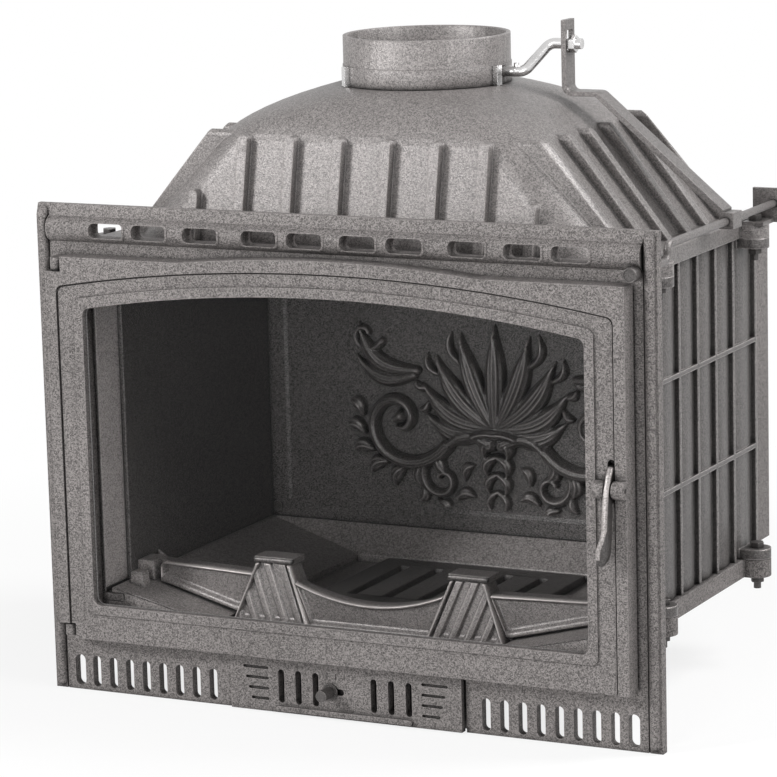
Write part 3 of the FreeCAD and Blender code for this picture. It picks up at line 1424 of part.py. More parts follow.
def guard_wing():
    """Right-hand wing, swept back and following the tray's slope."""
    slope = (TRAY_TOP - PIT_RIM_Z) / (TRAY_HALF_X - TRAY_BRIM - PIT_HALF_X)
    end_z = PIT_RIM_Z + slope * (WING_END_X - PIT_HALF_X) + WING_LIFT
    end_y = GUARD_WEB_Y + WING_SWEEP
    lift_z = PIT_RIM_Z + WING_LIFT
    inner_x = PIT_HALF_X - WING_LIFT
    outline = [
        (GUARD_POST_X, PIT_Z),
        (inner_x, PIT_Z),
        (inner_x, lift_z),
        (PIT_HALF_X, lift_z),
        (WING_END_X, end_z),
        (WING_END_X, WING_TOP_Z),
        (GUARD_POST_X, WING_TOP_Z),
    ]
    side = plate_xz(outline, GUARD_WEB_Y, end_y + GUARD_WEB_T)
    plan = [
        V(GUARD_POST_X, GUARD_WEB_Y, PIT_Z),
        V(WING_END_X, end_y, PIT_Z),
        V(WING_END_X, end_y + GUARD_WEB_T, PIT_Z),
        V(GUARD_POST_X, GUARD_WEB_Y + GUARD_WEB_T, PIT_Z),
    ]
    return side.common(prism(plan, V(0, 0, WING_TOP_Z)))


def log_guard():
    """Guard in front of the grate: web, two posts, two wings."""
    return join([guard_web()] + both_sides(guard_post()) + both_sides(guard_wing()))


def guard_brackets():
    """Blocks on the tray rim outside the guard's wing ends."""
    x1 = TRAY_HALF_X
    x0 = max(WING_END_X + SLIDE_GAP, x1 - GUARD_BRACKET_W)
    y0 = GUARD_WEB_Y + WING_SWEEP - (GUARD_BRACKET_D - GUARD_WEB_T) / 2
    y1 = y0 + GUARD_BRACKET_D
    in_bowl = box(x0, x1, y0, y1, PIT_RIM_Z, TRAY_TOP).common(tray_bowl())
    above = box(x0, x1, y0, y1, TRAY_TOP, TRAY_TOP + GUARD_BRACKET_H)
    return Part.makeCompound(both_sides(join([in_bowl, above])))


def ash_casing():
    """Open-topped box under the tray, lipped round its open front; it carries the rear."""
    y0 = FRONT + CASING_START
    inner = CASING_HALF_X - CASING_T
    shell = box(-CASING_HALF_X, CASING_HALF_X, y0, CASING_Y1, 0, TRAY_BOTTOM)
    lip_half = DRAWER_HALF + EDGE_GAP + CASING_LIP
    lip = box(-lip_half, lip_half, y0, y0 + CASING_T, 0, TRAY_BOTTOM)
    inside = box(-inner, inner, y0, CASING_Y1 - CASING_T, CASING_T, TRAY_BOTTOM)
    return join([shell, lip]).cut(inside)


def ash_pan():
    """Sheet pan that slides in the casing, its front wall as high as the drawer's face."""
    inner = PAN_HALF - PAN_T
    shell = box(-PAN_HALF, PAN_HALF, PAN_FRONT, PAN_REAR, PAN_Z0, PAN_TOP)
    front = box(-PAN_HALF, PAN_HALF, PAN_FRONT, PAN_FRONT + PAN_T, PAN_Z0, DRAWER_TOP)
    hollow = box(-inner, inner, PAN_FRONT + PAN_T, PAN_REAR - PAN_T, PAN_Z0 + PAN_T, PAN_TOP)
    return shell.cut(hollow).fuse(front).removeSplitter()


def air_slots(y0, y1):
    """Six upright air slots."""
    half = AIR_SLOT_W / 2
    slots = []
    for x in AIR_SLOT_XS:
        slots += both_sides(long_slot(x - half, x + half, AIR_SLOT_Z0, AIR_SLOT_Z1, y0, y1))
    return slots


def side_grooves():
    """Short grooves at both ends of the drawer face."""
    x0 = DRAWER_HALF - SIDE_GROOVE_INSET
    half = SIDE_GROOVE_H / 2
    grooves = []
    for k, length in enumerate(reversed(SIDE_GROOVE_LS)):
        z = SIDE_GROOVE_Z0 + k * SIDE_GROOVE_PITCH
        bar = long_slot(x0, x0 + length, z - half, z + half, DRAWER_FRONT, DRAWER_FRONT + SIDE_GROOVE_D)
        grooves += both_sides(bar)
    return grooves


def drawer_front():
    """Drawer face with air slots, side grooves, foot rib and shutter rails."""
    face = box(-DRAWER_HALF, DRAWER_HALF, DRAWER_FRONT, DRAWER_BACK, DRAWER_LIFT, DRAWER_TOP)
    rib_half = DRAWER_HALF - FOOT_RIB_INSET
    rib_y = DRAWER_FRONT - FOOT_RIB_D
    rib = long_slot(-rib_half, rib_half, FOOT_RIB_Z, FOOT_RIB_Z + FOOT_RIB_H, rib_y, DRAWER_FRONT)
    upper = box(-RAIL_HALF, RAIL_HALF, DRAWER_BACK, PAN_FRONT, SHUTTER_Z1 + SLIDE_GAP, DRAWER_TOP)
    lower = box(-RAIL_HALF, RAIL_HALF, DRAWER_BACK, PAN_FRONT, DRAWER_LIFT, SHUTTER_Z0 - SLIDE_GAP)
    reach = AIR_STEM_R + SLIDE_GAP
    x0 = AIR_KNOB_X - reach
    x1 = AIR_KNOB_X + SHUTTER_TRAVEL + reach
    knob_slot = long_slot(x0, x1, AIR_KNOB_Z - reach, AIR_KNOB_Z + reach, DRAWER_FRONT, DRAWER_BACK)
    tools = air_slots(DRAWER_FRONT, DRAWER_BACK) + side_grooves() + [knob_slot]
    return cut(join([face, rib, upper, lower]), tools)


def air_shutter():
    """Slotted plate behind the drawer face, open at rest."""
    y0 = DRAWER_BACK + SLIDE_GAP
    y1 = y0 + SHUTTER_T
    plate = box(-SHUTTER_HALF, SHUTTER_HALF, y0, y1, SHUTTER_Z0, SHUTTER_Z1)
    stem = rod(V(AIR_KNOB_X, y0, AIR_KNOB_Z), V(AIR_KNOB_X, y1, AIR_KNOB_Z), AIR_STEM_R + PIN_FIT)
    return cut(plate, air_slots(y0, y1) + [stem])


def air_knob():
    """Knob, washer and stem of the air shutter."""
    washer_y = DRAWER_FRONT - SLIDE_GAP
    knob_y = washer_y - AIR_WASHER_T
    end_y = DRAWER_BACK + SLIDE_GAP + SHUTTER_T

    def disc(y0, y1, radius):
        return rod(V(AIR_KNOB_X, y0, AIR_KNOB_Z), V(AIR_KNOB_X, y1, AIR_KNOB_Z), radius)

    return join(
        [
            disc(knob_y - AIR_KNOB_L, knob_y, AIR_KNOB_R),
            disc(knob_y, washer_y, AIR_WASHER_R),
            disc(washer_y, end_y, AIR_STEM_R),
        ]
    )


NODES = {
    "front_frame": front_frame,
    "frame_screws": frame_screws,
    "latch_keeper": latch_keeper,
    "hinge_pins": hinge_pins,
    "door_frame": door_frame,
    "door_glass": door_glass,
    "glass_gasket": glass_gasket,
    "glass_clips": glass_clips,
    "glass_clip_screws": glass_clip_screws,
    "door_rope_gasket": door_rope_gasket,
    "door_handle": door_handle,
    "handle_pin": handle_pin,
    "right_side_plate": right_side_plate,
    "left_side_plate": lambda: mirrored(right_side_plate()),
    "rear_plate": rear_plate,
    "base_plate": base_plate,
    "hood": hood,
    "flue_collar": flue_collar,
    "collar_clamps": collar_clamps,
    "damper_crank": damper_crank,
    "crank_set_screw": lambda: set_screw(0),
    "crank_nut": crank_nut,
    "damper_plate": damper_plate,
    "damper_strap": damper_strap,
    "damper_rod": damper_rod,
    "damper_knob": damper_knob,
    "rod_bracket": rod_bracket,
    "upper_tie_bolts": upper_tie_bolts,
    "upper_tie_nuts": upper_tie_nuts,
    "lower_tie_bolts": lower_tie_bolts,
    "lower_tie_nuts": lower_tie_nuts,
    "right_liner": right_liner,
    "left_liner": lambda: mirrored(right_liner()),
    "fireback": fireback,
    "fireback_screws": fireback_screws,
    "smoke_baffle": smoke_baffle,
    "hearth_tray": hearth_tray,
    "grate": grate,
    "log_guard": log_guard,
    "guard_brackets": guard_brackets,
    "ash_casing": ash_casing,
    "ash_pan": ash_pan,
    "drawer_front": drawer_front,
    "air_shutter": air_shutter,
    "air_knob": air_knob,
}

os.makedirs("parts", exist_ok=True)
for name, build in NODES.items():
    build().exportStep("parts/" + name + ".step")
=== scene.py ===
"""Looks of the cast-iron fireplace insert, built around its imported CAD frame."""

import json
import math
from functools import cached_property
from typing import NamedTuple

import bpy
import numpy as np
from mathutils import Matrix, Vector


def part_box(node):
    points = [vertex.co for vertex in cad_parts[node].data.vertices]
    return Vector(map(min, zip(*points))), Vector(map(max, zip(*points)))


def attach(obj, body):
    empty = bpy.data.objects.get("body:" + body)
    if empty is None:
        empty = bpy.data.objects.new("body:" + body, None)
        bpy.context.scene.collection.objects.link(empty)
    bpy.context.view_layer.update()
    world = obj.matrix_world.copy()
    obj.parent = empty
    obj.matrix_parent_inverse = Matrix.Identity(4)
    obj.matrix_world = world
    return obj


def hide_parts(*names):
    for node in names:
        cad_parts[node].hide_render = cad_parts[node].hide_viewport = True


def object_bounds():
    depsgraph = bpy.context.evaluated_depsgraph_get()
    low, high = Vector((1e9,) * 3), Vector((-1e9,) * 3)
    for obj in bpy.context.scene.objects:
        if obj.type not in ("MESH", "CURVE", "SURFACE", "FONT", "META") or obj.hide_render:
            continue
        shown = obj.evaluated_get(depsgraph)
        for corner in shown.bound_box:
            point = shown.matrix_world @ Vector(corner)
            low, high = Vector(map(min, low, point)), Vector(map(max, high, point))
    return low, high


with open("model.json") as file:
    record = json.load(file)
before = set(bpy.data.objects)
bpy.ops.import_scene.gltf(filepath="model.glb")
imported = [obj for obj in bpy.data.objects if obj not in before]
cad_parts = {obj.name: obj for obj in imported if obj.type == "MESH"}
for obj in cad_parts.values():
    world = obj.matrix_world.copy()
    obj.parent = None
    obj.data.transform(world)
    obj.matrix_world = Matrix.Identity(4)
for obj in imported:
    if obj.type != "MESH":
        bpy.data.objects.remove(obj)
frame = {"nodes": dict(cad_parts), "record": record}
CAD_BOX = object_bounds()
NODES = frame["nodes"]
SLOT = {part["node"]: part["material_slot"] for part in frame["record"]["subparts"]}
MM = 0.001

# Camera: where the photograph was taken from, with its long lens
CAMERA_AT = (1.706, -3.4871, 1.0544)
CAMERA_AZIMUTH = math.radians(26.8)
CAMERA_ELEVATION = math.radians(10.9)
CAMERA_ROLL = math.radians(-1.5)
SENSOR = 36.0
LENS = 171.8


def set_camera():
    """Camera looking along its azimuth and elevation, rolled a little."""
    level = math.cos(CAMERA_ELEVATION)
    back = Vector(
        (
            math.sin(CAMERA_AZIMUTH) * level,
            -math.cos(CAMERA_AZIMUTH) * level,
            math.sin(CAMERA_ELEVATION),
        )
    )
    right = Vector((math.cos(CAMERA_AZIMUTH), math.sin(CAMERA_AZIMUTH), 0.0))
    turn = Matrix((right, back.cross(right), back)).transposed()
    data = bpy.data.cameras.new("camera")
    data.sensor_width = SENSOR
    data.lens = LENS
    camera = bpy.data.objects.new("camera", data)
    camera.matrix_world = Matrix.Translation(CAMERA_AT) @ (
        turn @ Matrix.Rotation(CAMERA_ROLL, 3, "Z")
    ).to_4x4()
    bpy.context.scene.collection.objects.link(camera)
    bpy.context.scene.camera = camera


# Node graphs. The colour mix node has its sockets at these places, and an edge shows where
# the softened normal's cosine to the face's own falls across EDGE_TURN
MIX_FACTOR = 0
MIX_A = 6
MIX_B = 7
MIX_RESULT = 2
AO_SAMPLES = 4
ROUND_SAMPLES = 4
EDGE_TURN = (0.985, 0.85)
WHITE = (1.0, 1.0, 1.0, 1.0)


class Graph:
    """The node tree of a material or world, with short ways to add and link nodes."""

    def __init__(self, owner, output="ShaderNodeOutputMaterial"):
        self.owner = owner
        owner.use_nodes = True
        self.tree = owner.node_tree
        self.tree.nodes.clear()
        self.out = self.add(output)

    @cached_property
    def place(self):
        """Place on the object, in the frame's own metres."""
        return self.add("ShaderNodeTexCoord").outputs["Object"]

    def add(self, kind, values=None, **settings):
        """A node of that kind, its settings and socket values set."""
        node = self.tree.nodes.new(kind)
        for key, value in settings.items():
            setattr(node, key, value)
        for key, value in (values or {}).items():
            if isinstance(value, bpy.types.NodeSocket):
                self.tree.links.new(value, node.inputs[key])
            else:
                node.inputs[key].default_value = value
        return node

    def noise(self, scale, detail, rough=0.5, place=None):
        """Fractal noise over the object."""
        values = {"Vector": place or self.place, "Scale": scale, "Detail": detail}
        values["Roughness"] = rough
        return self.add("ShaderNodeTexNoise", values).outputs["Fac"]

    def spread(self, value, low, high, to_low=0.0, to_high=1.0):
        """value carried from one range to another, held at its ends."""
        values = {"Value": value, "From Min": low, "From Max": high}
        values.update({"To Min": to_low, "To Max": to_high})
        return self.add("ShaderNodeMapRange", values).outputs["Result"]

    def calc(self, operation, a, b):
        """Two values put through one operation."""
        return self.add("ShaderNodeMath", {0: a, 1: b}, operation=operation).outputs[0]

    def shade(self, level):
        """A value as a grey colour."""
        values = {0: level, 1: level, 2: level}
        return self.add("ShaderNodeCombineColor", values).outputs[0]

    def mix(self, factor, a, b, blend="MIX"):
        """Two colours mixed by a factor."""
        values = {MIX_FACTOR: factor, MIX_A: a, MIX_B: b}
        node = self.add("ShaderNodeMix", values, data_type="RGBA", blend_type=blend)
        return node.outputs[MIX_RESULT]

    def dim(self, colour, level):
        """A colour multiplied by a value."""
        return self.mix(1.0, colour, self.shade(level), "MULTIPLY")

    def occlusion(self, reach):
        """How open a place is: 0 deep in a crevice, 1 on open faces."""
        values = {"Distance": reach}
        return self.add("ShaderNodeAmbientOcclusion", values, samples=AO_SAMPLES).outputs["AO"]

    def rounded_normal(self, radius):
        """Normal that runs softly round edges and into corners."""
        return self.add("ShaderNodeBevel", {"Radius": radius}, samples=ROUND_SAMPLES).outputs[0]

    def edges(self, soft):
        """1 where the softened normal leaves the face's own, along edges."""
        own = self.add("ShaderNodeNewGeometry").outputs["Normal"]
        turn = self.add("ShaderNodeVectorMath", {0: own, 1: soft}, operation="DOT_PRODUCT")
        return self.spread(turn.outputs["Value"], *EDGE_TURN)

    def curving(self):
        """Over a half on ridges of a fine mesh, under a half in its grooves."""
        return self.add("ShaderNodeNewGeometry").outputs["Pointiness"]

    def grains(self, scale):
        """Packed grains: a chance value for each, and the distance from its middle."""
        node = self.add("ShaderNodeTexVoronoi", {"Vector": self.place, "Scale": scale})
        split = self.add("ShaderNodeSeparateColor", {0: node.outputs["Color"]})
        return split.outputs[0], node.outputs["Distance"]

    def bump(self, height, strength, distance, normal=None):
        """A bump from a height, on a normal of its own if there is one."""
        values = {"Height": height, "Strength": strength, "Distance": distance}
        if normal is not None:
            values["Normal"] = normal
        return self.add("ShaderNodeBump", values).outputs["Normal"]

    def blend(self, factor, first, second):
        """Two shaders mixed by a factor."""
        values = {0: factor, 1: first.outputs[0], 2: second.outputs[0]}
        return self.add("ShaderNodeMixShader", values)

    def close(self, shader):
        """The shader on the tree's output."""
        self.tree.links.new(shader.outputs[0], self.out.inputs["Surface"])
        return self.owner

    def surface(self, **values):
        """The principled shader on the material's output."""
        named = {key.replace("_", " "): value for key, value in values.items()}
        return self.close(self.add("ShaderNodeBsdfPrincipled", named))


def material_graph(name):
    """The empty graph of a new material."""
    return Graph(bpy.data.materials.new(name))


def grey(tone, warmth=0.0):
    """A linear grey with more red and a little less blue."""
    return (tone * (1 + warmth), tone, tone * (1 - warmth / 3), 1.0)


# Cast iron: sand-mould grain, soft cloudy tone, painted shade in crevices, and edges lighter as
# wear and as a painted highlight.
# A span is the part of a texture's range that counts, a tone or share what it becomes, and a
# bump its strength and depth
WARMTH = 0.08
GRAIN_SCALE = 900.0
GRAIN_BUMP = (0.25, 0.6 * MM)
PITS = {"scale": 520.0, "detail": 2.0}
PIT_BUMP = (0.2, 0.8 * MM)
CLOUD = {"scale": 7.0, "detail": 4.0, "rough": 0.6}
CLOUD_SPAN = (0.3, 0.7)
CLOUD_TONE = (0.90, 1.10)
CLOUD_ROUGH = 0.05
# Edges lighter, in patches, partly as real wear and partly as a painted highlight
WEAR_HIGHLIGHT_SPAN = (0.35, 0.6)
WEAR_HIGHLIGHT_SHARE = (0.3, 0.9)
# Crevice values set the painted shade: how far the occlusion looks, the part of its range that
# counts and the tone it darkens to
CREVICE_REACH = 8.0 * MM
CREVICE_SPAN = (0.35, 0.85)
CREVICE_SHADE_TONE = (0.06, 1.0)
# Carving: a painted highlight on ridges and painted shade in grooves, by the mesh's curvature
RIDGE_HIGHLIGHT_SPAN = (0.52, 0.60)
GROOVE_SPAN = (0.40, 0.48)
GROOVE_SHADE_TONE = (0.2, 1.0)
EDGE_SOFT = 1.0 * MM
PLAIN_SHINE = 0.5


def cast_iron(
    name,
    tone,
    wear_highlight_tone,
    rough,
    metal,
    grain,
    soft=EDGE_SOFT,
    reach=CREVICE_REACH,
    shine=PLAIN_SHINE,
    carved=False,
):
    """Grey cast iron of one tone, its edges lighter in another tone as wear and as a painted
    highlight, with painted shade in its crevices; carving also paints a highlight on its ridges and
    shade in its grooves.
    """
    g = material_graph(name)
    chance, middle = g.grains(GRAIN_SCALE)
    pits = g.noise(**PITS)
    cloud = g.noise(**CLOUD)
    round_normal = g.rounded_normal(soft)
    clouding = g.spread(cloud, *CLOUD_SPAN, *CLOUD_TONE)
    speckle = g.spread(chance, 0.0, 1.0, 1 - grain, 1 + grain)
    body = g.dim(grey(tone, WARMTH), g.calc("MULTIPLY", clouding, speckle))
    # Edges lighter: partly real wear, partly a painted highlight where a rounded edge catches the
    # light
    worn = g.calc("MULTIPLY", g.edges(round_normal), g.spread(pits, *WEAR_HIGHLIGHT_SPAN, *WEAR_HIGHLIGHT_SHARE))
    # Painted shade: ambient occlusion darkens the base colour in crevices and where parts meet
    painted_shade = g.spread(g.occlusion(reach), *CREVICE_SPAN, *CREVICE_SHADE_TONE)
    if carved:
        # Carving paints a highlight on the ridges and shade in the grooves
        curve = g.curving()
        worn = g.calc("MAXIMUM", worn, g.spread(curve, *RIDGE_HIGHLIGHT_SPAN))
        painted_shade = g.calc("MULTIPLY", painted_shade, g.spread(curve, *GROOVE_SPAN, *GROOVE_SHADE_TONE))
    colour = g.mix(worn, body, grey(wear_highlight_tone, WARMTH))
    pitted = g.bump(pits, *PIT_BUMP, round_normal)
    return g.surface(
        Base_Color=g.dim(colour, painted_shade),
        Metallic=metal,
        Roughness=g.spread(cloud, *CLOUD_SPAN, rough - CLOUD_ROUGH, rough + CLOUD_ROUGH),
        Specular_IOR_Level=shine,
        Normal=g.bump(middle, *GRAIN_BUMP, pitted),
    )


# Bright steel: fine lines and faint stains
STEEL_WARMTH = 0.012
STEEL_METAL = 0.95
LINES = {"scale": 90.0, "detail": 3.0, "rough": 0.6}
LINE_SPAN = (0.3, 0.7)
LINE_SMOOTHER = 0.07
LINE_ROUGHER = 0.09
LINE_BUMP = (0.12, 0.15 * MM)
STAINS = {"scale": 35.0, "detail": 3.0, "rough": 0.6}
STAIN_SPAN = (0.3, 0.7)
STAIN_TONE = (0.85, 1.1)


def bright_steel(name, tone, rough, brushed):
    """Bright plated or turned steel with fine lines round or along it."""
    g = material_graph(name)
    stretch = g.add("ShaderNodeMapping", {"Vector": g.place, "Scale": brushed})
    lines = g.noise(**LINES, place=stretch.outputs[0])
    stains = g.spread(g.noise(**STAINS), *STAIN_SPAN, *STAIN_TONE)
    return g.surface(
        Base_Color=g.dim(grey(tone, STEEL_WARMTH), stains),
        Metallic=STEEL_METAL,
        Roughness=g.spread(lines, *LINE_SPAN, rough - LINE_SMOOTHER, rough + LINE_ROUGHER),
        Normal=g.bump(lines, *LINE_BUMP),
    )


# Woven glass fibre: slanting threads under a fine fuzz
YARN_WARMTH = 0.03
YARN_ROUGH = 0.9
YARN_WAVE = 6.28
YARN_WANDER = 1.2
YARN_TONE = (0.7, 1.05)
YARN_BUMP = (0.6, 0.6 * MM)
FUZZ = {"scale": 900.0, "detail": 2.0}
FUZZ_SPAN = (0.3, 0.7)
FUZZ_TONE = (0.85, 1.1)


def woven(name, tone, thread):
    """Braided glass-fibre yarn, thread metres across."""
    g = material_graph(name)
    wave = {"Vector": g.place, "Scale": 1 / (thread * YARN_WAVE), "Distortion": YARN_WANDER}
    yarn = g.add("ShaderNodeTexWave", wave, bands_direction="DIAGONAL").outputs["Fac"]
    threads = g.spread(yarn, 0.0, 1.0, *YARN_TONE)
    fuzz = g.spread(g.noise(**FUZZ), *FUZZ_SPAN, *FUZZ_TONE)
    return g.surface(
        Base_Color=g.dim(grey(tone, YARN_WARMTH), g.calc("MULTIPLY", threads, fuzz)),
        Roughness=YARN_ROUGH,
        Normal=g.bump(yarn, *YARN_BUMP),
    )


# Pane: a thin uneven film and a faint sheen
FILM = {"scale": 9.0, "detail": 4.0}
FILM_SPAN = (0.35, 0.75)
FILM_TONE = (0.95, 0.985)
PANE_ROUGH = 0.03
PANE_IOR = 1.45
PANE_SHEEN = 0.12


def glass(name):
    """Clear glass-ceramic pane: almost all light passes, a faint sheen stays."""
    g = material_graph(name)
    film = g.spread(g.noise(**FILM), *FILM_SPAN, *FILM_TONE)
    clear = g.add("ShaderNodeBsdfTransparent", {"Color": g.shade(film)})
    sheen = g.add("ShaderNodeBsdfGlossy", {"Roughness": PANE_ROUGH})
    fresnel = g.add("ShaderNodeFresnel", {"IOR": PANE_IOR}).outputs[0]
    return g.close(g.blend(g.calc("MULTIPLY", fresnel, PANE_SHEEN), clear, sheen))


# Finishes: what the slots ask for, and shades of them for single pieces; some of these shades are
# lighter copies painting light and a darker copy painting shade
IRON = {
    "cast_grey": dict(tone=0.135, wear_highlight_tone=0.34, rough=0.60, metal=0.15, grain=0.60, shine=0.15),
    # Hood and flue collar: a smoother copy of the cast iron, its lighter tone painted light on the
    # crown and front
    "cast_hood_lit": dict(tone=0.158, wear_highlight_tone=0.38, rough=0.44, metal=0.25, grain=0.50, soft=2.4 * MM),
    # Side plates: a darker copy of the cast iron, painted shade for the side turned away from the
    # key lamp
    "cast_side_shaded": dict(
        tone=0.086, wear_highlight_tone=0.60, rough=0.42, metal=0.30, grain=0.55, soft=2.2 * MM, reach=12 * MM
    ),
    "cast_dark": dict(tone=0.068, wear_highlight_tone=0.20, rough=0.46, metal=0.15, grain=0.80),
    "cast_relief": dict(
        tone=0.080,
        wear_highlight_tone=0.30,
        rough=0.36,
        metal=0.35,
        grain=0.50,
        soft=2.0 * MM,
        reach=13 * MM,
        carved=True,
    ),
    # Log guard, its reeds and the hearth tray: lighter copies of the cast iron, painted light on
    # the chamber's front-facing parts
    "cast_hearth_lit": dict(tone=0.180, wear_highlight_tone=0.60, rough=0.34, metal=0.35, grain=0.45, reach=5 * MM),
    "cast_reeds": dict(
        tone=0.165, wear_highlight_tone=0.62, rough=0.34, metal=0.35, grain=0.45, reach=5 * MM, carved=True
    ),
    "cast_tray": dict(tone=0.240, wear_highlight_tone=0.42, rough=0.44, metal=0.20, grain=0.55),
    "cast_grate": dict(tone=0.072, wear_highlight_tone=0.22, rough=0.48, metal=0.15, grain=0.60),
    "blackened": dict(tone=0.075, wear_highlight_tone=0.45, rough=0.40, metal=0.60, grain=0.30, soft=0.5 * MM),
    "sheet": dict(tone=0.135, wear_highlight_tone=0.36, rough=0.40, metal=0.40, grain=0.40, soft=0.5 * MM),
    # Jamb strips: pale, partly the bare casing's own tone and partly painted light on the chamber's
    # front edge
    "jamb": dict(tone=0.37, wear_highlight_tone=0.42, rough=0.42, metal=0.20, grain=0.45),
    "forged": dict(tone=0.062, wear_highlight_tone=0.50, rough=0.34, metal=0.50, grain=0.40, soft=0.7 * MM),
    # Lever's front strip: lighter, as worn metal and as a painted highlight
    "worn": dict(tone=0.26, wear_highlight_tone=0.50, rough=0.34, metal=0.45, grain=0.40, soft=0.5 * MM),
}
FINISH = {name: cast_iron(name, **values) for name, values in IRON.items()}
FINISH["plated"] = bright_steel("plated", tone=0.60, rough=0.24, brushed=(1.0, 1.0, 6.0))
FINISH["tape"] = woven("tape", tone=0.30, thread=0.9 * MM)
FINISH["rope"] = woven("rope", tone=0.34, thread=1.6 * MM)
FINISH["pane"] = glass("pane")

# Nodes whose finish is a shade of their slot's own; the lit and shaded copies among them paint
# light and shade
OTHER_FINISH = {
    "hood": "cast_hood_lit",
    "flue_collar": "cast_hood_lit",
    "right_side_plate": "cast_side_shaded",
    "left_side_plate": "cast_side_shaded",
    "hearth_tray": "cast_tray",
    "grate": "cast_grate",
    "log_guard": "cast_hearth_lit",
    "guard_brackets": "cast_tray",
    "damper_knob": "forged",
    "hinge_pins": "blackened",
    "handle_pin": "forged",
}

# Edge rounding of the carried-over CAD nodes, by slot
ROUNDING = {
    "cast_grey": 1.3 * MM,
    "cast_dark": 1.5 * MM,
    "plated": 0.5 * MM,
    "blackened": 0.6 * MM,
    "sheet": 0.4 * MM,
    "tape": 0.6 * MM,
    "rope": 2.0 * MM,
    "pane": 0.5 * MM,
}
ROUND_SEGMENTS = 2
ROUND_ANGLE = math.radians(32)
WELD = 0.01 * MM

# Nodes with long slender faces, whose edges the finish alone softens
SHARP = ("rear_plate",)


def soften(obj, width):
    """Joined vertices and rounded edges, as modifiers."""
    weld = obj.modifiers.new("weld", "WELD")
    weld.merge_threshold = WELD
    bevel = obj.modifiers.new("rounding", "BEVEL")
    bevel.width = width
    bevel.segments = ROUND_SEGMENTS
    bevel.limit_method = "ANGLE"
    bevel.angle_limit = ROUND_ANGLE
    bevel.harden_normals = True
    bevel.use_clamp_overlap = True


def dress_cad():
    """Finish on every CAD node, and rounding on all but the sharp ones."""
    for name, obj in NODES.items():
        slot = SLOT[name]
        obj.data.materials.clear()
        obj.data.materials.append(FINISH[OTHER_FINISH.get(name, slot)])
        if name not in SHARP:
            soften(obj, ROUNDING[slot])


# Mesh helpers for the added pieces
FRONT = Vector((0, -1, 0))


def mesh_piece(name, verts, faces, finish, body="carcass", smooth=True):
    """A mesh object with a finish, riding on a body."""
    mesh = bpy.data.meshes.new(name)
    mesh.from_pydata([tuple(v) for v in verts], [], faces)
    mesh.validate()
    if smooth:
        mesh.polygons.foreach_set("use_smooth", [True] * len(mesh.polygons))
    obj = bpy.data.objects.new(name, mesh)
    mesh.materials.append(FINISH[finish])
    bpy.context.scene.collection.objects.link(obj)
    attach(obj, body)
    return obj


def smooth_line(points, steps):
    """Points along a Catmull-Rom curve through the given ones."""
    knots = [Vector(p) for p in points]
    knots = [knots[0] * 2 - knots[1], *knots, knots[-1] * 2 - knots[-2]]
    out = []
    for a, b, c, d in zip(knots, knots[1:], knots[2:], knots[3:]):
        for s in range(steps):
            t = s / steps
            square = (2 * a - 5 * b + 4 * c - d) * t**2
            cube = (3 * b - a - 3 * c + d) * t**3
            out.append(0.5 * (2 * b + (c - a) * t + square + cube))
    out.append(knots[-2])
    return out


def tube_mesh(path, radius, sides, closed=False, flat=1.0):
    """Vertices and faces of a round bar along a path, pressed flat from the front."""
    verts, faces = [], []
    count = len(path)
    for k, p in enumerate(path):
        ahead = path[(k + 1) % count] if closed or k + 1 < count else path[k]
        behind = path[k - 1] if closed or k else path[k]
        along = (ahead - behind).normalized()
        across = along.cross(FRONT).normalized()
        up = across.cross(along).normalized()
        for s in range(sides):
            turn = 2 * math.pi * s / sides
            verts.append(p + across * radius * math.cos(turn) + up * radius * flat * math.sin(turn))
    for k in range(count if closed else count - 1):
        after = (k + 1) % count
        for s in range(sides):
            t = (s + 1) % sides
            faces.append((k * sides + s, k * sides + t, after * sides + t, after * sides + s))
    if not closed:
        faces.append(tuple(range(sides))[::-1])
        faces.append(tuple((count - 1) * sides + s for s in range(sides)))
    return verts, faces


def prism(outline, y0, y1):
    """An outline in X and Z drawn out along Y."""
    count = len(outline)
    verts = [Vector((x, y, z)) for y in (y0, y1) for x, z in outline]
    faces = [tuple(range(count)), tuple(range(count, 2 * count))[::-1]]
    for k in range(count):
        j = (k + 1) % count
        faces.append((k, k + count, j + count, j))
    return verts, faces


def gather(parts):
    """Several (vertices, faces) pairs as one."""
    verts, faces = [], []
    for v, f in parts:
        start = len(verts)
        verts += list(v)
        faces += [tuple(i + start for i in face) for face in f]
    return verts, faces


def mirrored(parts):
    """The pairs and their images in the middle plane."""
    twins = []
    for v, f in parts:
        twins.append(([Vector((-p[0], p[1], p[2])) for p in v], [face[::-1] for face in f]))
    return parts + twins


# Log guard: sunk panels with rolled rims, posts with broad slanting reeds
GUARD_LOW, GUARD_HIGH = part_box("log_guard")
POST_X = 113 * MM
POST_FOOT_HALF = 46 * MM
POST_TOP_HALF = 19.5 * MM
POST_TOP_Z = 142 * MM
POST_RUN = POST_TOP_Z - GUARD_LOW.z
POST_SLOPE = (POST_FOOT_HALF - POST_TOP_HALF) / POST_RUN
POST_LEAN = 10 * MM
POST_GRID = (72, 56)
CAP_HALF = 23 * MM
CAP_FRONT = 4 * MM
CAP_ROLL_UP = 3 * MM
CAP_ROLL_R = 2.6 * MM
CAP_ROLL_SIDES = 10
CAP_ROLL_STEPS = 8
WEB_Y = GUARD_LOW.y + 7 * MM
WEB_GRID = (150, 44)
DIP_Z = 107 * MM
DIP_RISE = 31 * MM
WING_TOP_Z = 130 * MM
WING_BACK = 15 * MM
WING_FOOT_X = 160 * MM
WING_FOOT_Z = 86 * MM
WING_END_Z = 108.5 * MM
WING_CORNER = 9 * MM
WING_GRID = (110, 36)

# Wings and web reach under the posts' slanting edges; place and height settle in a few steps
UNDERLAP = 0.6 * MM
SETTLE_STEPS = 3

